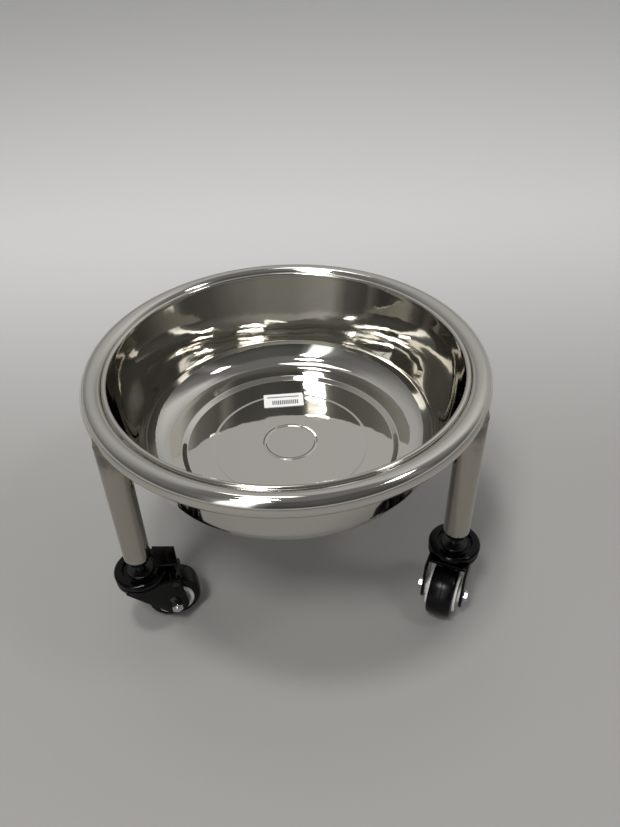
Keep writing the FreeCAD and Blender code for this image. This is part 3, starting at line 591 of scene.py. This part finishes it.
def coped_tube(segments=120):
    """A leg: bevelled foot below, saddle above, open inside."""
    inner = LEG_R - LEG_WALL
    foot = rounded([
        (inner, LEG_FOOT_Z, 0.3),
        (LEG_R, LEG_FOOT_Z, 0.6),
        (LEG_R, RING_Z),
        (inner, RING_Z),
    ], steps=3)
    foot = [point for point in foot if point.y < RING_Z - 20]
    outside = [Vector((LEG_R, z)) for z in (LEG_FOOT_Z + 8, RING_Z - 30, RING_Z - 16)]
    profile = foot[foot.index(min(foot, key=lambda p: (p.y, p.x))):] + outside
    verts = []
    for step in range(segments):
        angle = 2 * math.pi * step / segments
        c, s = math.cos(angle), math.sin(angle)
        column = [(inner, LEG_FOOT_Z + 0.5)] + [tuple(p) for p in profile]
        column += [(LEG_R, cope_height(LEG_R * c, LEG_R * s)), (inner, cope_height(inner * c, inner * s))]
        verts += [(r * c, r * s, z) for r, z in column]
    return verts, swept_faces(segments, len(column))


def weld_bead(seed, segments=180):
    """The dressed fillet between a leg and the ring, with faint ripples."""
    wobble = random.Random(seed)
    fine_phase = wobble.uniform(0, 6.28)
    slow_phase = wobble.uniform(0, 6.28)
    verts = []
    for step in range(segments):
        angle = 2 * math.pi * step / segments
        c, s = math.cos(angle), math.sin(angle)
        corner = Vector((LEG_R * c, LEG_R * s, cope_height(LEG_R * c, LEG_R * s)))
        low = Vector((LEG_R * c, LEG_R * s, corner.z - WELD_DOWN))
        reach = LEG_R + WELD_OUT
        offset = ring_offset(reach * c, reach * s)
        if abs(offset) < RING_TUBE_R:
            high = Vector((reach * c, reach * s, RING_Z - math.sqrt(RING_TUBE_R ** 2 - offset ** 2)))
        else:
            climb = min(WELD_CLIMB, 0.5 * (abs(offset) - RING_TUBE_R))
            side = math.copysign(math.sqrt(RING_TUBE_R ** 2 - climb ** 2), offset)
            along = reach * s
            radial = math.sqrt((RING_PITCH + side) ** 2 - along ** 2) - RING_PITCH
            high = Vector((radial, along, RING_Z + climb))
        ripple = FINE_RIPPLE * math.sin(30 * angle + fine_phase)
        ripple += SLOW_RIPPLE * math.sin(5 * angle + slow_phase)
        out = Vector((c, s, -0.6)).normalized()
        toe = corner + (corner - (low + high) / 2) * -0.1
        arc = []
        for t in frange(0.0, 1.0, 0.125):
            pull = 4 * t * (1 - t)
            arc.append(low.lerp(high, t).lerp(toe, 0.35 * pull) + out * (pull * (WELD_BULGE + ripple)))
        root = LEG_R - WELD_ROOT
        arc.append(Vector((root * c, root * s, min(high.z, corner.z + 1.0))))
        arc.append(Vector((root * c, root * s, low.z)))
        verts += [tuple(point) for point in arc]
    return verts, swept_faces(segments, len(arc))


for index, side in enumerate(SIDES):
    make_piece(f"coped_leg_{side}", coped_tube(), LEG[side], "frame", "frame_steel", "leg", f"leg_{side}")
    make_piece(f"dressed_weld_{side}", weld_bead(7 + index), LEG[side], "frame", "frame_steel", "weld",
               f"leg_weld_{side}")

# %% [markdown]
# ## The bowl
#
# The bowl was spun from one disc of sheet. Its floor steps down twice, a shallow dish inside a
# well, which stiffens it. The wall leans out by a few degrees, and the rim is rolled outwards to a
# bead. The profile follows the sheet once round: out along the inside, over the bead and back
# under the floor, so the shell is closed.

# %% Spin the bowl
SHEET = 1.0
BEAD_R = 2.4
BEAD_AT = Vector((163.38, 5.0))
LEDGE_Z = -90.5
WELL_Z = -93.5
DIP_Z = -93.9
BEND_R = 31.0
BEND_AT = Vector((115.98, LEDGE_Z + BEND_R))


def arc_points(centre, radius, start, end, step):
    """Points on a circle from one angle to another, by a step in degrees."""
    angles = frange(start, end, math.radians(step))
    return [centre + Vector((math.cos(angle), math.sin(angle))) * radius for angle in angles]


def tangent_angle(centre, radius, point):
    """Angle on a circle at which a line from a point above and outside it just touches."""
    away = point - centre
    return math.atan2(away.y, away.x) - math.acos(radius / away.length)


def bowl_side(radius, rim_x):
    """The bend and the wall, from the floor's edge up to the rim, on one face of the sheet."""
    rim = Vector((rim_x, BEAD_AT.y))
    arc = arc_points(BEND_AT, radius, -math.pi / 2, tangent_angle(BEND_AT, radius, rim), 3)
    wall = [arc[-1].lerp(rim, t) for t in (0.02, 0.25, 0.5, 0.75, 0.96)]
    return arc + wall


floor_in = [
    (0.0, DIP_Z + SHEET),
    (23.6, DIP_Z + SHEET, 1.5),
    (24.7, WELL_Z + SHEET, 1.2),
    (25.9, WELL_Z + SHEET, 1.2),
    (27.0, DIP_Z + SHEET, 1.5),
    (75.2, DIP_Z + SHEET, 2.5),
    (77.0, WELL_Z + SHEET, 2.5),
    (102.0, WELL_Z + SHEET, 2.0),
    (107.0, LEDGE_Z + SHEET, 2.4),
    (BEND_AT.x, LEDGE_Z + SHEET),
]
inside = rounded(floor_in, closed=False, steps=6, guard=0.8)[:-1]
inside += bowl_side(BEND_R - SHEET, BEAD_AT.x - BEAD_R)
bead = arc_points(BEAD_AT, BEAD_R, math.pi, math.radians(-140), 12)
outside = bowl_side(BEND_R, BEAD_AT.x - BEAD_R + SHEET)[::-1]
floor_out = rounded([
    (BEND_AT.x, LEDGE_Z),
    (107.3, LEDGE_Z, 1.4),
    (102.3, WELL_Z, 2.0),
    (76.7, WELL_Z, 1.5),
    (75.3, DIP_Z, 1.5),
    (0.0, DIP_Z),
], closed=False, steps=5, guard=0.8)
bowl_profile = inside + bead + outside + floor_out[1:]
bowl_at = Matrix.Translation((0, 0, RING_Z * MM)) @ Matrix.Scale(MM, 4)
bowl_shell = turned(bowl_profile, 288, closed=False)
make_piece("spun_bowl", bowl_shell, bowl_at, "bowl", "bowl_steel", "bowl", "bowl")

# %% [markdown]
# ## The label
#
# A plain film label lies on the floor of the well. Where a maker would print, it has one plain
# rule and a row of even bars, which say nothing.

# %% Label film and plain bars
LABEL_PLACE = (-5.1 * MM, 66.9 * MM, (RING_Z + WELL_Z + SHEET) * MM)
LABEL_TILT = Matrix.Rotation(math.radians(2.2), 4, "Z")
LABEL_LENGTH = 42.0
LABEL_WIDTH = 22.0
FILM = 0.15
INK = 0.03
INK_Z = 0.16
LABEL_AT = Matrix.Translation(LABEL_PLACE) @ LABEL_TILT @ Matrix.Scale(MM, 4)


def film(length, width, thickness, radius=1.2, steps=5):
    """A thin sheet with round corners, slightly proud of the floor."""
    outline = []
    reach_x, reach_y = length / 2 - radius, width / 2 - radius
    for side_x, side_y, start in ((1, 1, 0), (-1, 1, 90), (-1, -1, 180), (1, -1, 270)):
        for i in range(steps + 1):
            a = math.radians(start + 90 * i / steps)
            outline.append((side_x * reach_x + radius * math.cos(a), side_y * reach_y + radius * math.sin(a)))
    count = len(outline)
    verts = [(x, y, 0.0) for x, y in outline] + [(x, y, thickness) for x, y in outline]
    faces = [tuple(range(count))[::-1], tuple(range(count, 2 * count))]
    faces += [(i, (i + 1) % count, count + (i + 1) % count, count + i) for i in range(count)]
    return verts, faces


film_shell = film(LABEL_LENGTH, LABEL_WIDTH, FILM)
make_piece("label_film", film_shell, LABEL_AT, "bowl", "label", "film", "bowl_label")

bars_tree, bars_in = start_tree("even_bars", {
    "Count": "Int",
    "Spacing": "Float",
    "Bar width": "Float",
    "Bar length": "Float",
    "Ink thickness": "Float",
})
row_length = add(bars_tree, "ShaderNodeMath", {
    0: bars_in["Count"],
    1: bars_in["Spacing"],
}, operation="MULTIPLY")
row_start = add(bars_tree, "ShaderNodeMath", {0: row_length.outputs["Value"], 1: -0.5}, operation="MULTIPLY")
start = add(bars_tree, "ShaderNodeCombineXYZ", {"X": row_start.outputs["Value"]})
step = add(bars_tree, "ShaderNodeCombineXYZ", {"X": bars_in["Spacing"]})
row = add(bars_tree, "GeometryNodeMeshLine", {
    "Count": bars_in["Count"],
    "Start Location": start.outputs["Vector"],
    "Offset": step.outputs["Vector"],
})
bar_size = add(bars_tree, "ShaderNodeCombineXYZ", {
    "X": bars_in["Bar width"],
    "Y": bars_in["Bar length"],
    "Z": bars_in["Ink thickness"],
})
bar = add(bars_tree, "GeometryNodeMeshCube", {"Size": bar_size.outputs["Vector"]})
bars = add(bars_tree, "GeometryNodeInstanceOnPoints", {
    "Points": row.outputs["Mesh"],
    "Instance": bar.outputs["Mesh"],
})
end_tree(bars_tree, bars_in, bars.outputs["Instances"])

bars_at = LABEL_AT @ Matrix.Translation((2.5, -3.6, INK_Z))
bars_mesh = grow("bars", bars_tree, "ink", bars_at, {
    "Count": 14,
    "Spacing": 2.0,
    "Bar width": 1.15,
    "Bar length": 7.0,
    "Ink thickness": INK,
})
put_on("label_bars", bars_mesh, "bowl")
rule_at = LABEL_AT @ Matrix.Translation((0.0, 5.6, INK_Z))
rule_mesh = grow("rule", bars_tree, "ink", rule_at, {
    "Count": 1,
    "Spacing": 1.0,
    "Bar width": 34.0,
    "Bar length": 1.5,
    "Ink thickness": INK,
})
put_on("label_rule", rule_mesh, "bowl")

# %% [markdown]
# ## Castor heads, stems and ball races
#
# Each castor turns on a king pin. The dished upper race is pressed from sheet and covers the upper
# row of balls. Under the fork's crown, a smaller race keeps the lower row. The pin ends in a
# riveted head below, and a lock nut holds its thread tight in the leg.

# %% Turned pieces of the swivel
PIN_R = 5.0
BORE_R = PIN_R + 0.1
PIN_PITCH = 1.5
PIN_TOP_Z = 105.5
STEM_FLATS = 17.0
COLLAR_R = 12.8
RIVET_R = 8.0
DISH_R = 16.5
SKIRT_IN = 22.4
SKIRT_R = 24.13
SKIRT_Z = 63.2
LIP_Z = 66.3
LOWER_RACE_Z = 54.5
LOWER_RACE_R = 14.0

head_profile = rounded([
    (BORE_R, RACE_Z, 0.0),
    (SKIRT_IN, RACE_Z, 0.6),
    (SKIRT_IN, SKIRT_Z, 0.3),
    (SKIRT_R, SKIRT_Z, 0.5),
    (SKIRT_R, LIP_Z, 0.4),
    (HEAD_R, LIP_Z, 0.5),
    (HEAD_R, HEAD_RIM_Z, 3.0),
    (DISH_R, HEAD_RIM_Z, 1.2),
    (DISH_R, DISH_Z, 0.8),
    (BORE_R, DISH_Z, 0.0),
], steps=7)
keeper_profile = rounded([
    (BORE_R, LOWER_RACE_Z),
    (LOWER_RACE_R - 1.5, LOWER_RACE_Z, 1.0),
    (LOWER_RACE_R, LOWER_RACE_Z + 1.5, 1.0),
    (LOWER_RACE_R, LOWER_RACE_Z + 3.0, 0.5),
    (BORE_R, LOWER_RACE_Z + 3.0),
])
pin_profile = rounded([
    (0.0, LOWER_RACE_Z - 2.5),
    (RIVET_R, LOWER_RACE_Z - 2.5, 1.24),
    (RIVET_R, LOWER_RACE_Z),
    (PIN_R, LOWER_RACE_Z),
    (PIN_R, DISH_Z),
    (COLLAR_R, DISH_Z),
    (COLLAR_R, COLLAR_Z, 0.7),
    (PIN_R, COLLAR_Z),
], closed=False)
pin_profile += [Vector((PIN_R, z)) for z in frange(COLLAR_Z + 0.5, PIN_TOP_Z - 1.0, 0.25)]
pin_profile += [Vector((PIN_R - 1.1, PIN_TOP_Z)), Vector((0.0, PIN_TOP_Z))]
pin_thread = thread(PIN_R, PIN_PITCH, COLLAR_Z + 1.0, PIN_TOP_Z - 0.9)


def nut_shell(flats, height, bore, chamfer=0.9):
    """A hexagonal nut on the XY plane, its corners turned off at both ends."""
    corner = flats / 2 / math.cos(math.pi / 6)
    waist = flats / 2 - 0.15
    slope = [(waist + (corner - waist) * t, chamfer * t * t) for t in (0, 0.25, 0.5, 0.75, 1.0)]
    profile = [(bore, 0.4), (bore + 0.5, 0.0)] + slope
    profile += [(r, height - z) for r, z in reversed(slope)] + [(bore + 0.5, height), (bore, height - 0.4)]
    return turned(profile, 120, trim=hexagon(flats))


lock_nut = moved(nut_shell(STEM_FLATS, LEG_FOOT_Z - NUT_Z, PIN_R), (0.0, 0.0, NUT_Z))
STEM_SHELLS = (
    ("dished_race", turned(head_profile, 144), "enamel", "top_race"),
    ("keeper_race", turned(keeper_profile, 96), "blacked", "lower_race"),
    ("king_pin", turned(pin_profile, 64, closed=False, trim=pin_thread), "blacked", "castor_stem"),
    ("lock_nut", lock_nut, "blacked", "stem_nut"),
)
for side in SIDES:
    for piece, shell, finish, node in STEM_SHELLS:
        make_piece(f"{piece}_{side}", shell, LEG[side], "frame", "castor_black", finish, f"{node}_{side}")

# %% [markdown]
# ## Two rows of balls
#
# The balls are all alike and evenly spaced, so a ring of points carries one ball each.

# %% Grow the balls
balls_tree, balls_in = start_tree("row_of_balls", {
    "Count": "Int",
    "Pitch radius": "Float",
    "Ball radius": "Float",
})
spots = add(balls_tree, "GeometryNodeMeshCircle", {
    "Vertices": balls_in["Count"],
    "Radius": balls_in["Pitch radius"],
})
ball = add(balls_tree, "GeometryNodeMeshUVSphere", {
    "Segments": 16,
    "Rings": 10,
    "Radius": balls_in["Ball radius"],
})
balls = add(balls_tree, "GeometryNodeInstanceOnPoints", {
    "Points": spots.outputs["Mesh"],
    "Instance": ball.outputs["Mesh"],
})
end_tree(balls_tree, balls_in, balls.outputs["Instances"])

ROWS = {
    "upper": (63.75, {"Count": 16, "Pitch radius": 17.0, "Ball radius": 2.25}),
    "lower": (58.25, {"Count": 12, "Pitch radius": 10.0, "Ball radius": 1.75}),
}
for side in SIDES:
    for row_name, (height, sizes) in ROWS.items():
        row_at = CASTOR[side] @ Matrix.Translation((0, 0, height))
        row_mesh = grow(row_name, balls_tree, "ball", row_at, sizes)
        put_on(f"ball_row_{row_name}_{side}", row_mesh, f"swivel_{side}",
               replaces=(f"{row_name}_balls_{side}",))

# %% [markdown]
# ## Forks
#
# A fork is pressed from one plate: a round crown under the head, and two side plates that narrow
# to a round end at the axle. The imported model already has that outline, so a copy of it is merged,
# its flat faces are joined up, and a small bevel breaks its edges, as tumbling does after pressing.

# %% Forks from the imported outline


def pressed_copy(node, edge_round, steps=3):
    """A merged copy of a node's mesh, with its edges broken."""
    mesh = frame["nodes"][node].data.copy()
    mesh.name = f"{node}_pressed"
    work = bmesh.new()
    work.from_mesh(mesh)
    bmesh.ops.remove_doubles(work, verts=work.verts, dist=0.004 * MM)
    bmesh.ops.dissolve_limit(work, angle_limit=math.radians(1.0), verts=work.verts, edges=work.edges)
    edges = [e for e in work.edges if len(e.link_faces) == 2 and e.calc_face_angle(0.0) > math.radians(32)]
    bmesh.ops.bevel(work, geom=edges, offset=edge_round * MM, segments=steps, profile=0.5, affect="EDGES",
                    clamp_overlap=True)
    work.to_mesh(mesh)
    work.free()
    tidy_mesh(mesh, merge=0.001)
    return mesh


for side in SIDES:
    fork_mesh = pressed_copy(f"fork_{side}", 0.5)
    put_on(f"pressed_fork_{side}", fork_mesh, f"swivel_{side}", "enamel", (f"fork_{side}",))

# %% [markdown]
# ## Wheels
#
# The hub is moulded in white nylon: a boss that turns on the axle's spacer, a web, and a rim with
# a flange each side. The solid rubber tread is crowned, so only its middle meets the floor, and it
# has a fine parting line where its mould closed.

# %% Turned hub and tread
SEAT_R = 16.5
FLANGE_R = 18.0
FLANGE_OUT = 14.5
FLANGE_IN_R = 14.25
BOSS_R = 9.0
BOSS_OUT = 17.1
HUB_BORE = 6.1
WEB_R = 12.0
WEB = 5.0
TREAD_HALF = 12.0
CROWN = 1.5

half_hub = [
    (SEAT_R, TREAD_HALF - 0.1, 0.3),
    (FLANGE_R, TREAD_HALF, 0.4),
    (FLANGE_R, FLANGE_OUT, 0.8),
    (FLANGE_IN_R, FLANGE_OUT, 0.5),
    (WEB_R, WEB, 1.2),
    (BOSS_R, WEB, 1.2),
    (BOSS_R, BOSS_OUT, 0.5),
    (HUB_BORE, BOSS_OUT, 0.2),
]
hub_profile = rounded(half_hub + mirrored(half_hub), steps=4)

side_z = TREAD_HALF - 0.05
crown_r = (side_z ** 2 + CROWN ** 2) / (2 * CROWN)
parting = [(WHEEL_R - 0.05, 0.08, 0.0), (WHEEL_R - 0.01, 0.25, 0.0)]
crown = [(WHEEL_R - crown_r + math.sqrt(crown_r ** 2 - z * z), z, 0.0) for z in frange(1.5, 9.0, 1.5)]
shoulder = [(WHEEL_R - CROWN, side_z, 2.9), (SEAT_R + 0.05, side_z, 0.2)]
half_tyre = parting + crown + shoulder
tyre_profile = rounded(mirrored(half_tyre) + half_tyre, steps=6, guard=0.0)

print("hub points:", len(hub_profile), "tread points:", len(tyre_profile))
hub_shell = turned(hub_profile, 144)
tyre_shell = turned(tyre_profile, 192)
for side in SIDES:
    on_axle = (AXLE[side], f"wheel_{side}")
    make_piece(f"nylon_hub_{side}", hub_shell, *on_axle, "hub_white", "nylon", f"wheel_hub_{side}")
    make_piece(f"rubber_tread_{side}", tyre_shell, *on_axle, "tread_black", "rubber", f"wheel_tyre_{side}")

# %% [markdown]
# ## Ribs of the hub
#
# Thin ribs stiffen the web between the boss and the rim. One rib is drawn and then repeated round
# the axle, on both sides of the web.

# %% Grow the ribs
ribs_tree, ribs_in = start_tree("hub_ribs", {
    "Count": "Int",
    "Middle radius": "Float",
    "Length": "Float",
    "Thickness": "Float",
    "Width of the wheel": "Float",
})
rib_ring = add(ribs_tree, "GeometryNodeMeshCircle", {
    "Vertices": ribs_in["Count"],
    "Radius": ribs_in["Middle radius"],
})
rib_size = add(ribs_tree, "ShaderNodeCombineXYZ", {
    "X": ribs_in["Length"],
    "Y": ribs_in["Thickness"],
    "Z": ribs_in["Width of the wheel"],
})
rib = add(ribs_tree, "GeometryNodeMeshCube", {"Size": rib_size.outputs["Vector"]})
rib_place = add(ribs_tree, "GeometryNodeInputPosition")
outwards = add(ribs_tree, "FunctionNodeAlignRotationToVector", {
    "Vector": rib_place.outputs["Position"],
}, axis="X")
ribs = add(ribs_tree, "GeometryNodeInstanceOnPoints", {
    "Points": rib_ring.outputs["Mesh"],
    "Instance": rib.outputs["Mesh"],
    "Rotation": outwards.outputs["Rotation"],
})
end_tree(ribs_tree, ribs_in, ribs.outputs["Instances"])
for side in SIDES:
    ribs_mesh = grow("ribs", ribs_tree, "nylon", AXLE[side], {
        "Count": 8,
        "Middle radius": 10.9,
        "Length": 4.2,
        "Thickness": 1.4,
        "Width of the wheel": 20.0,
    })
    tidy_mesh(ribs_mesh, sharp=20.0)
    put_on(f"hub_ribs_{side}", ribs_mesh, f"wheel_{side}")

# %% [markdown]
# ## Axle bolts and nuts
#
# An M6 bolt clamps the side plates on the spacer tube. It is turned as one profile: rolled thread,
# shank and a hexagonal head with its corners turned off. The nut shows a turn or two of thread.

# %% Bolts and nuts
PLATE_OUT = FORK_HALF_GAP + FORK_PLATE
FLATS = 10.0
BOLT_R = 3.0
BOLT_PITCH = 1.0
NUT_HEIGHT = 5.0
HEAD_TOP = PLATE_OUT + 4.0
BOLT_END = PLATE_OUT + NUT_HEIGHT + 1.5
HEX_CORNER = FLATS / 2 / math.cos(math.pi / 6)


def bolt_limit(angle, height):
    """Hexagon for the head, thread for the far end of the shank."""
    if height > PLATE_OUT - 0.01:
        return hexagon(FLATS)(angle, height)
    return thread(BOLT_R, BOLT_PITCH, 0.4 - BOLT_END, 3.0 - PLATE_OUT)(angle, height)


bolt_profile = [Vector((0.0, -BOLT_END)), Vector((BOLT_R - 0.8, -BOLT_END))]
bolt_profile += [Vector((BOLT_R, z)) for z in frange(0.5 - BOLT_END, -16.0, 0.2)]
bolt_profile += [Vector(point) for point in (
    (BOLT_R, PLATE_OUT - 0.1),
    (BOLT_R, PLATE_OUT),
    (4.7, PLATE_OUT),
    (HEX_CORNER, PLATE_OUT + 0.4),
    (HEX_CORNER, HEAD_TOP - 0.9),
    (5.6, HEAD_TOP - 0.6),
    (5.3, HEAD_TOP - 0.3),
    (4.8, HEAD_TOP),
    (4.1, HEAD_TOP),
    (0.0, HEAD_TOP - 0.1),
)]
axle_nut = moved(nut_shell(FLATS, NUT_HEIGHT, BOLT_R, 0.7), (0.0, 0.0, -PLATE_OUT - NUT_HEIGHT))
axle_bolt = turned(bolt_profile, 96, closed=False, trim=bolt_limit)
for side in SIDES:
    on_fork = (AXLE[side], f"swivel_{side}", "zinc_steel", "zinc")
    make_piece(f"hex_bolt_{side}", axle_bolt, *on_fork, f"axle_bolt_{side}")
    make_piece(f"hex_nut_{side}", axle_nut, *on_fork, f"axle_nut_{side}")

# %% [markdown]
# ## The brake
#
# The left castor has a foot brake. Its lever is bent plate: a wide tread plate over the head, a
# rolled barrel on the pin and a shoe below that is pressed on the tread of the wheel.

# %% Lever and pin
put_on("bent_lever", pressed_copy("brake_lever", 0.45), "brake", "enamel", ("brake_lever",))

BRAKE_PIN_R = 2.0
BRAKE_HEAD_R = 3.2
BRAKE_PIN_AT = (28.5, 0.0, 56.5)
PIN_AT = CASTOR["left"] @ Matrix.Translation(BRAKE_PIN_AT) @ Matrix.Rotation(-math.pi / 2, 4, "X")
half_pin = rounded([
    (BRAKE_PIN_R, 10.0),
    (BRAKE_PIN_R, PLATE_OUT),
    (BRAKE_HEAD_R, PLATE_OUT, 0.2),
    (BRAKE_HEAD_R, PLATE_OUT + 0.4, 0.3),
    (BRAKE_HEAD_R - 1.0, PLATE_OUT + 0.9, 0.6),
    (0.0, PLATE_OUT + 0.9),
], closed=False, steps=4)
whole_pin = [Vector((p.x, -p.y)) for p in reversed(half_pin)] + half_pin
pin_shell = turned(whole_pin, 48, closed=False)
make_piece("headed_pin", pin_shell, PIN_AT, "swivel_left", "castor_black", "blacked", "brake_pin")

# %% [markdown]
# ## Pieces that stay as they are
#
# The threaded plugs, the spacer tubes and the leaf spring sit inside other pieces, and their
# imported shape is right. They only need their finish.

# %% Finish the hidden pieces
KEPT = {"brake_spring": "spring"}
for side in SIDES:
    KEPT[f"leg_insert_{side}"] = "zinc"
    KEPT[f"axle_sleeve_{side}"] = "zinc"
for node, finish in KEPT.items():
    kept = frame["nodes"][node]
    for slot in kept.material_slots:
        slot.material = MATERIALS[finish]
    print(node, "keeps its shape,", len(kept.material_slots), "slot(s)")

# %% [markdown]
# ## Floor, light and camera
#
# The stage is plain. A pale floor takes the object's soft shadow. Polished steel shows whatever is
# round it, so the world is a plain room of greys that change with the bearing: a tall window in
# front and to the left, a dark wall beside it, paler walls behind, and a dim ceiling. Four small
# panels overhead lift the floor and the colours to about their written level, and the floor grows
# paler behind the object. The camera looks down at the bowl from in front, at standing height.

# %% Floor
floor_material, floor_tree, floor_output, floor_place = start_material("pale_studio_floor")
floor_way = add(floor_tree, "ShaderNodeSeparateXYZ", {"Vector": floor_place})
sweep = add(floor_tree, "ShaderNodeMapRange", {
    "Value": floor_way.outputs["Y"],
    "From Min": 0.0,
    "From Max": 0.9,
}, interpolation_type="SMOOTHSTEP")
floor_tone = add(floor_tree, "ShaderNodeMix", {
    "Factor": sweep.outputs["Result"],
    "A": linear("#A3A19E"),
    "B": linear("#E6E5E3"),
}, data_type="RGBA")
floor_shader = add(floor_tree, "ShaderNodeBsdfPrincipled", {
    "Base Color": floor_tone.outputs["Result"],
    "Roughness": 0.75,
})
finish_material(floor_tree, floor_output, floor_shader)
floor_mesh = bpy.data.meshes.new("studio_floor")
floor_mesh.from_pydata([(-12, -12, 0), (12, -12, 0), (12, 12, 0), (-12, 12, 0)], [], [(0, 1, 2, 3)])
floor_mesh.materials.append(floor_material)
floor = bpy.data.objects.new("studio_floor", floor_mesh)
bpy.context.scene.collection.objects.link(floor)

# %% Soft room
ROOM = (
    (-180, 0.22), (-150, 0.17), (-138, 0.20), (-129, 0.40), (-126, 2.40),
    (-112, 2.40), (-109, 0.30), (-102, 0.10), (-75, 0.12), (-50, 0.11),
    (-34, 0.12), (-22, 0.30), (-14, 0.16), (10, 0.26), (30, 0.76),
    (52, 0.68), (75, 0.54), (120, 0.50), (150, 0.38), (180, 0.22),
)
PALE = 0.46
CEILING = 0.20
LAMP_TARGET = Vector((0.0, 0.0, 0.2))

world = bpy.data.worlds.new("soft_room")
bpy.context.scene.world = world
world.use_nodes = True
room = world.node_tree
room.nodes.clear()
way = add(room, "ShaderNodeSeparateXYZ", {"Vector": add(room, "ShaderNodeTexCoord").outputs["Generated"]})
bearing = add(room, "ShaderNodeMath", {0: way.outputs["Y"], 1: way.outputs["X"]}, operation="ARCTAN2")
turn = add(room, "ShaderNodeMapRange", {
    "Value": bearing.outputs["Value"],
    "From Min": -math.pi,
    "From Max": math.pi,
})
walls = add(room, "ShaderNodeValToRGB", {"Fac": turn.outputs["Result"]})
for degrees, grey in ROOM[1:-1]:
    walls.color_ramp.elements.new((degrees + 180) / 360)
for stop, (degrees, grey) in zip(walls.color_ramp.elements, ROOM):
    stop.position, stop.color = (degrees + 180) / 360, (grey, grey, grey, 1.0)
climb = add(room, "ShaderNodeMapRange", {
    "Value": way.outputs["Z"],
    "From Min": 0.30,
    "From Max": 0.62,
    "To Min": 0.62,
    "To Max": 1.0,
})
lit_walls = add(room, "ShaderNodeVectorMath", {0: walls.outputs["Color"], "Scale": climb.outputs["Result"]},
                operation="SCALE")
above_floor = add(room, "ShaderNodeMapRange", {
    "Value": way.outputs["Z"],
    "From Min": 0.10,
    "From Max": 0.24,
}, interpolation_type="SMOOTHSTEP")
low = add(room, "ShaderNodeMix", {
    "Factor": above_floor.outputs["Result"],
    "A": (PALE, PALE, PALE, 1.0),
    "B": lit_walls.outputs["Vector"],
}, data_type="RGBA")
overhead = add(room, "ShaderNodeMapRange", {
    "Value": way.outputs["Z"],
    "From Min": 0.87,
    "From Max": 0.95,
}, interpolation_type="SMOOTHSTEP")
whole = add(room, "ShaderNodeMix", {
    "Factor": overhead.outputs["Result"],
    "A": low.outputs["Result"],
    "B": (CEILING, CEILING, CEILING, 1.0),
}, data_type="RGBA")
background = add(room, "ShaderNodeBackground", {"Color": whole.outputs["Result"], "Strength": 1.0})
add(room, "ShaderNodeOutputWorld", {"Surface": background.outputs["Background"]})


def soft_panel(name, place, size, power):
    """A square white area lamp at a place in metres, turned to face the object."""
    lamp = bpy.data.lights.new(name, "AREA")
    lamp.shape = "SQUARE"
    lamp.size = size
    lamp.energy = power
    holder = bpy.data.objects.new(name, lamp)
    holder.location = place
    holder.rotation_euler = (LAMP_TARGET - Vector(place)).to_track_quat("-Z", "Y").to_euler()
    bpy.context.scene.collection.objects.link(holder)


soft_panel("ceiling_panel", (-0.35, -0.20, 2.4), 0.32, 15.0)
soft_panel("window_panel", (-0.63, -1.09, 2.4), 0.46, 20.0)
soft_panel("far_panel", (-0.22, 0.65, 2.4), 0.50, 2.5)
soft_panel("side_panel", (1.50, -0.42, 2.4), 0.40, 7.0)

# %% Camera
EYE = Vector((0.0, -0.541010, 0.611882))
RIGHT = Vector((0.9983643, -0.05355696, -0.02000937))
UP = Vector((0.04929563, 0.62909617, 0.77576282))
FORWARD = Vector((0.02895968, 0.77548028, -0.63070728))
camera_data = bpy.data.cameras.new("camera")
camera_data.lens = 31.413
camera_data.sensor_width = 36.0
camera = bpy.data.objects.new("camera", camera_data)
camera.matrix_world = Matrix((
    (RIGHT.x, UP.x, -FORWARD.x, EYE.x),
    (RIGHT.y, UP.y, -FORWARD.y, EYE.y),
    (RIGHT.z, UP.z, -FORWARD.z, EYE.z),
    (0, 0, 0, 1),
))
bpy.context.scene.collection.objects.link(camera)
bpy.context.scene.camera = camera
bpy.context.scene.view_settings.view_transform = "Standard"
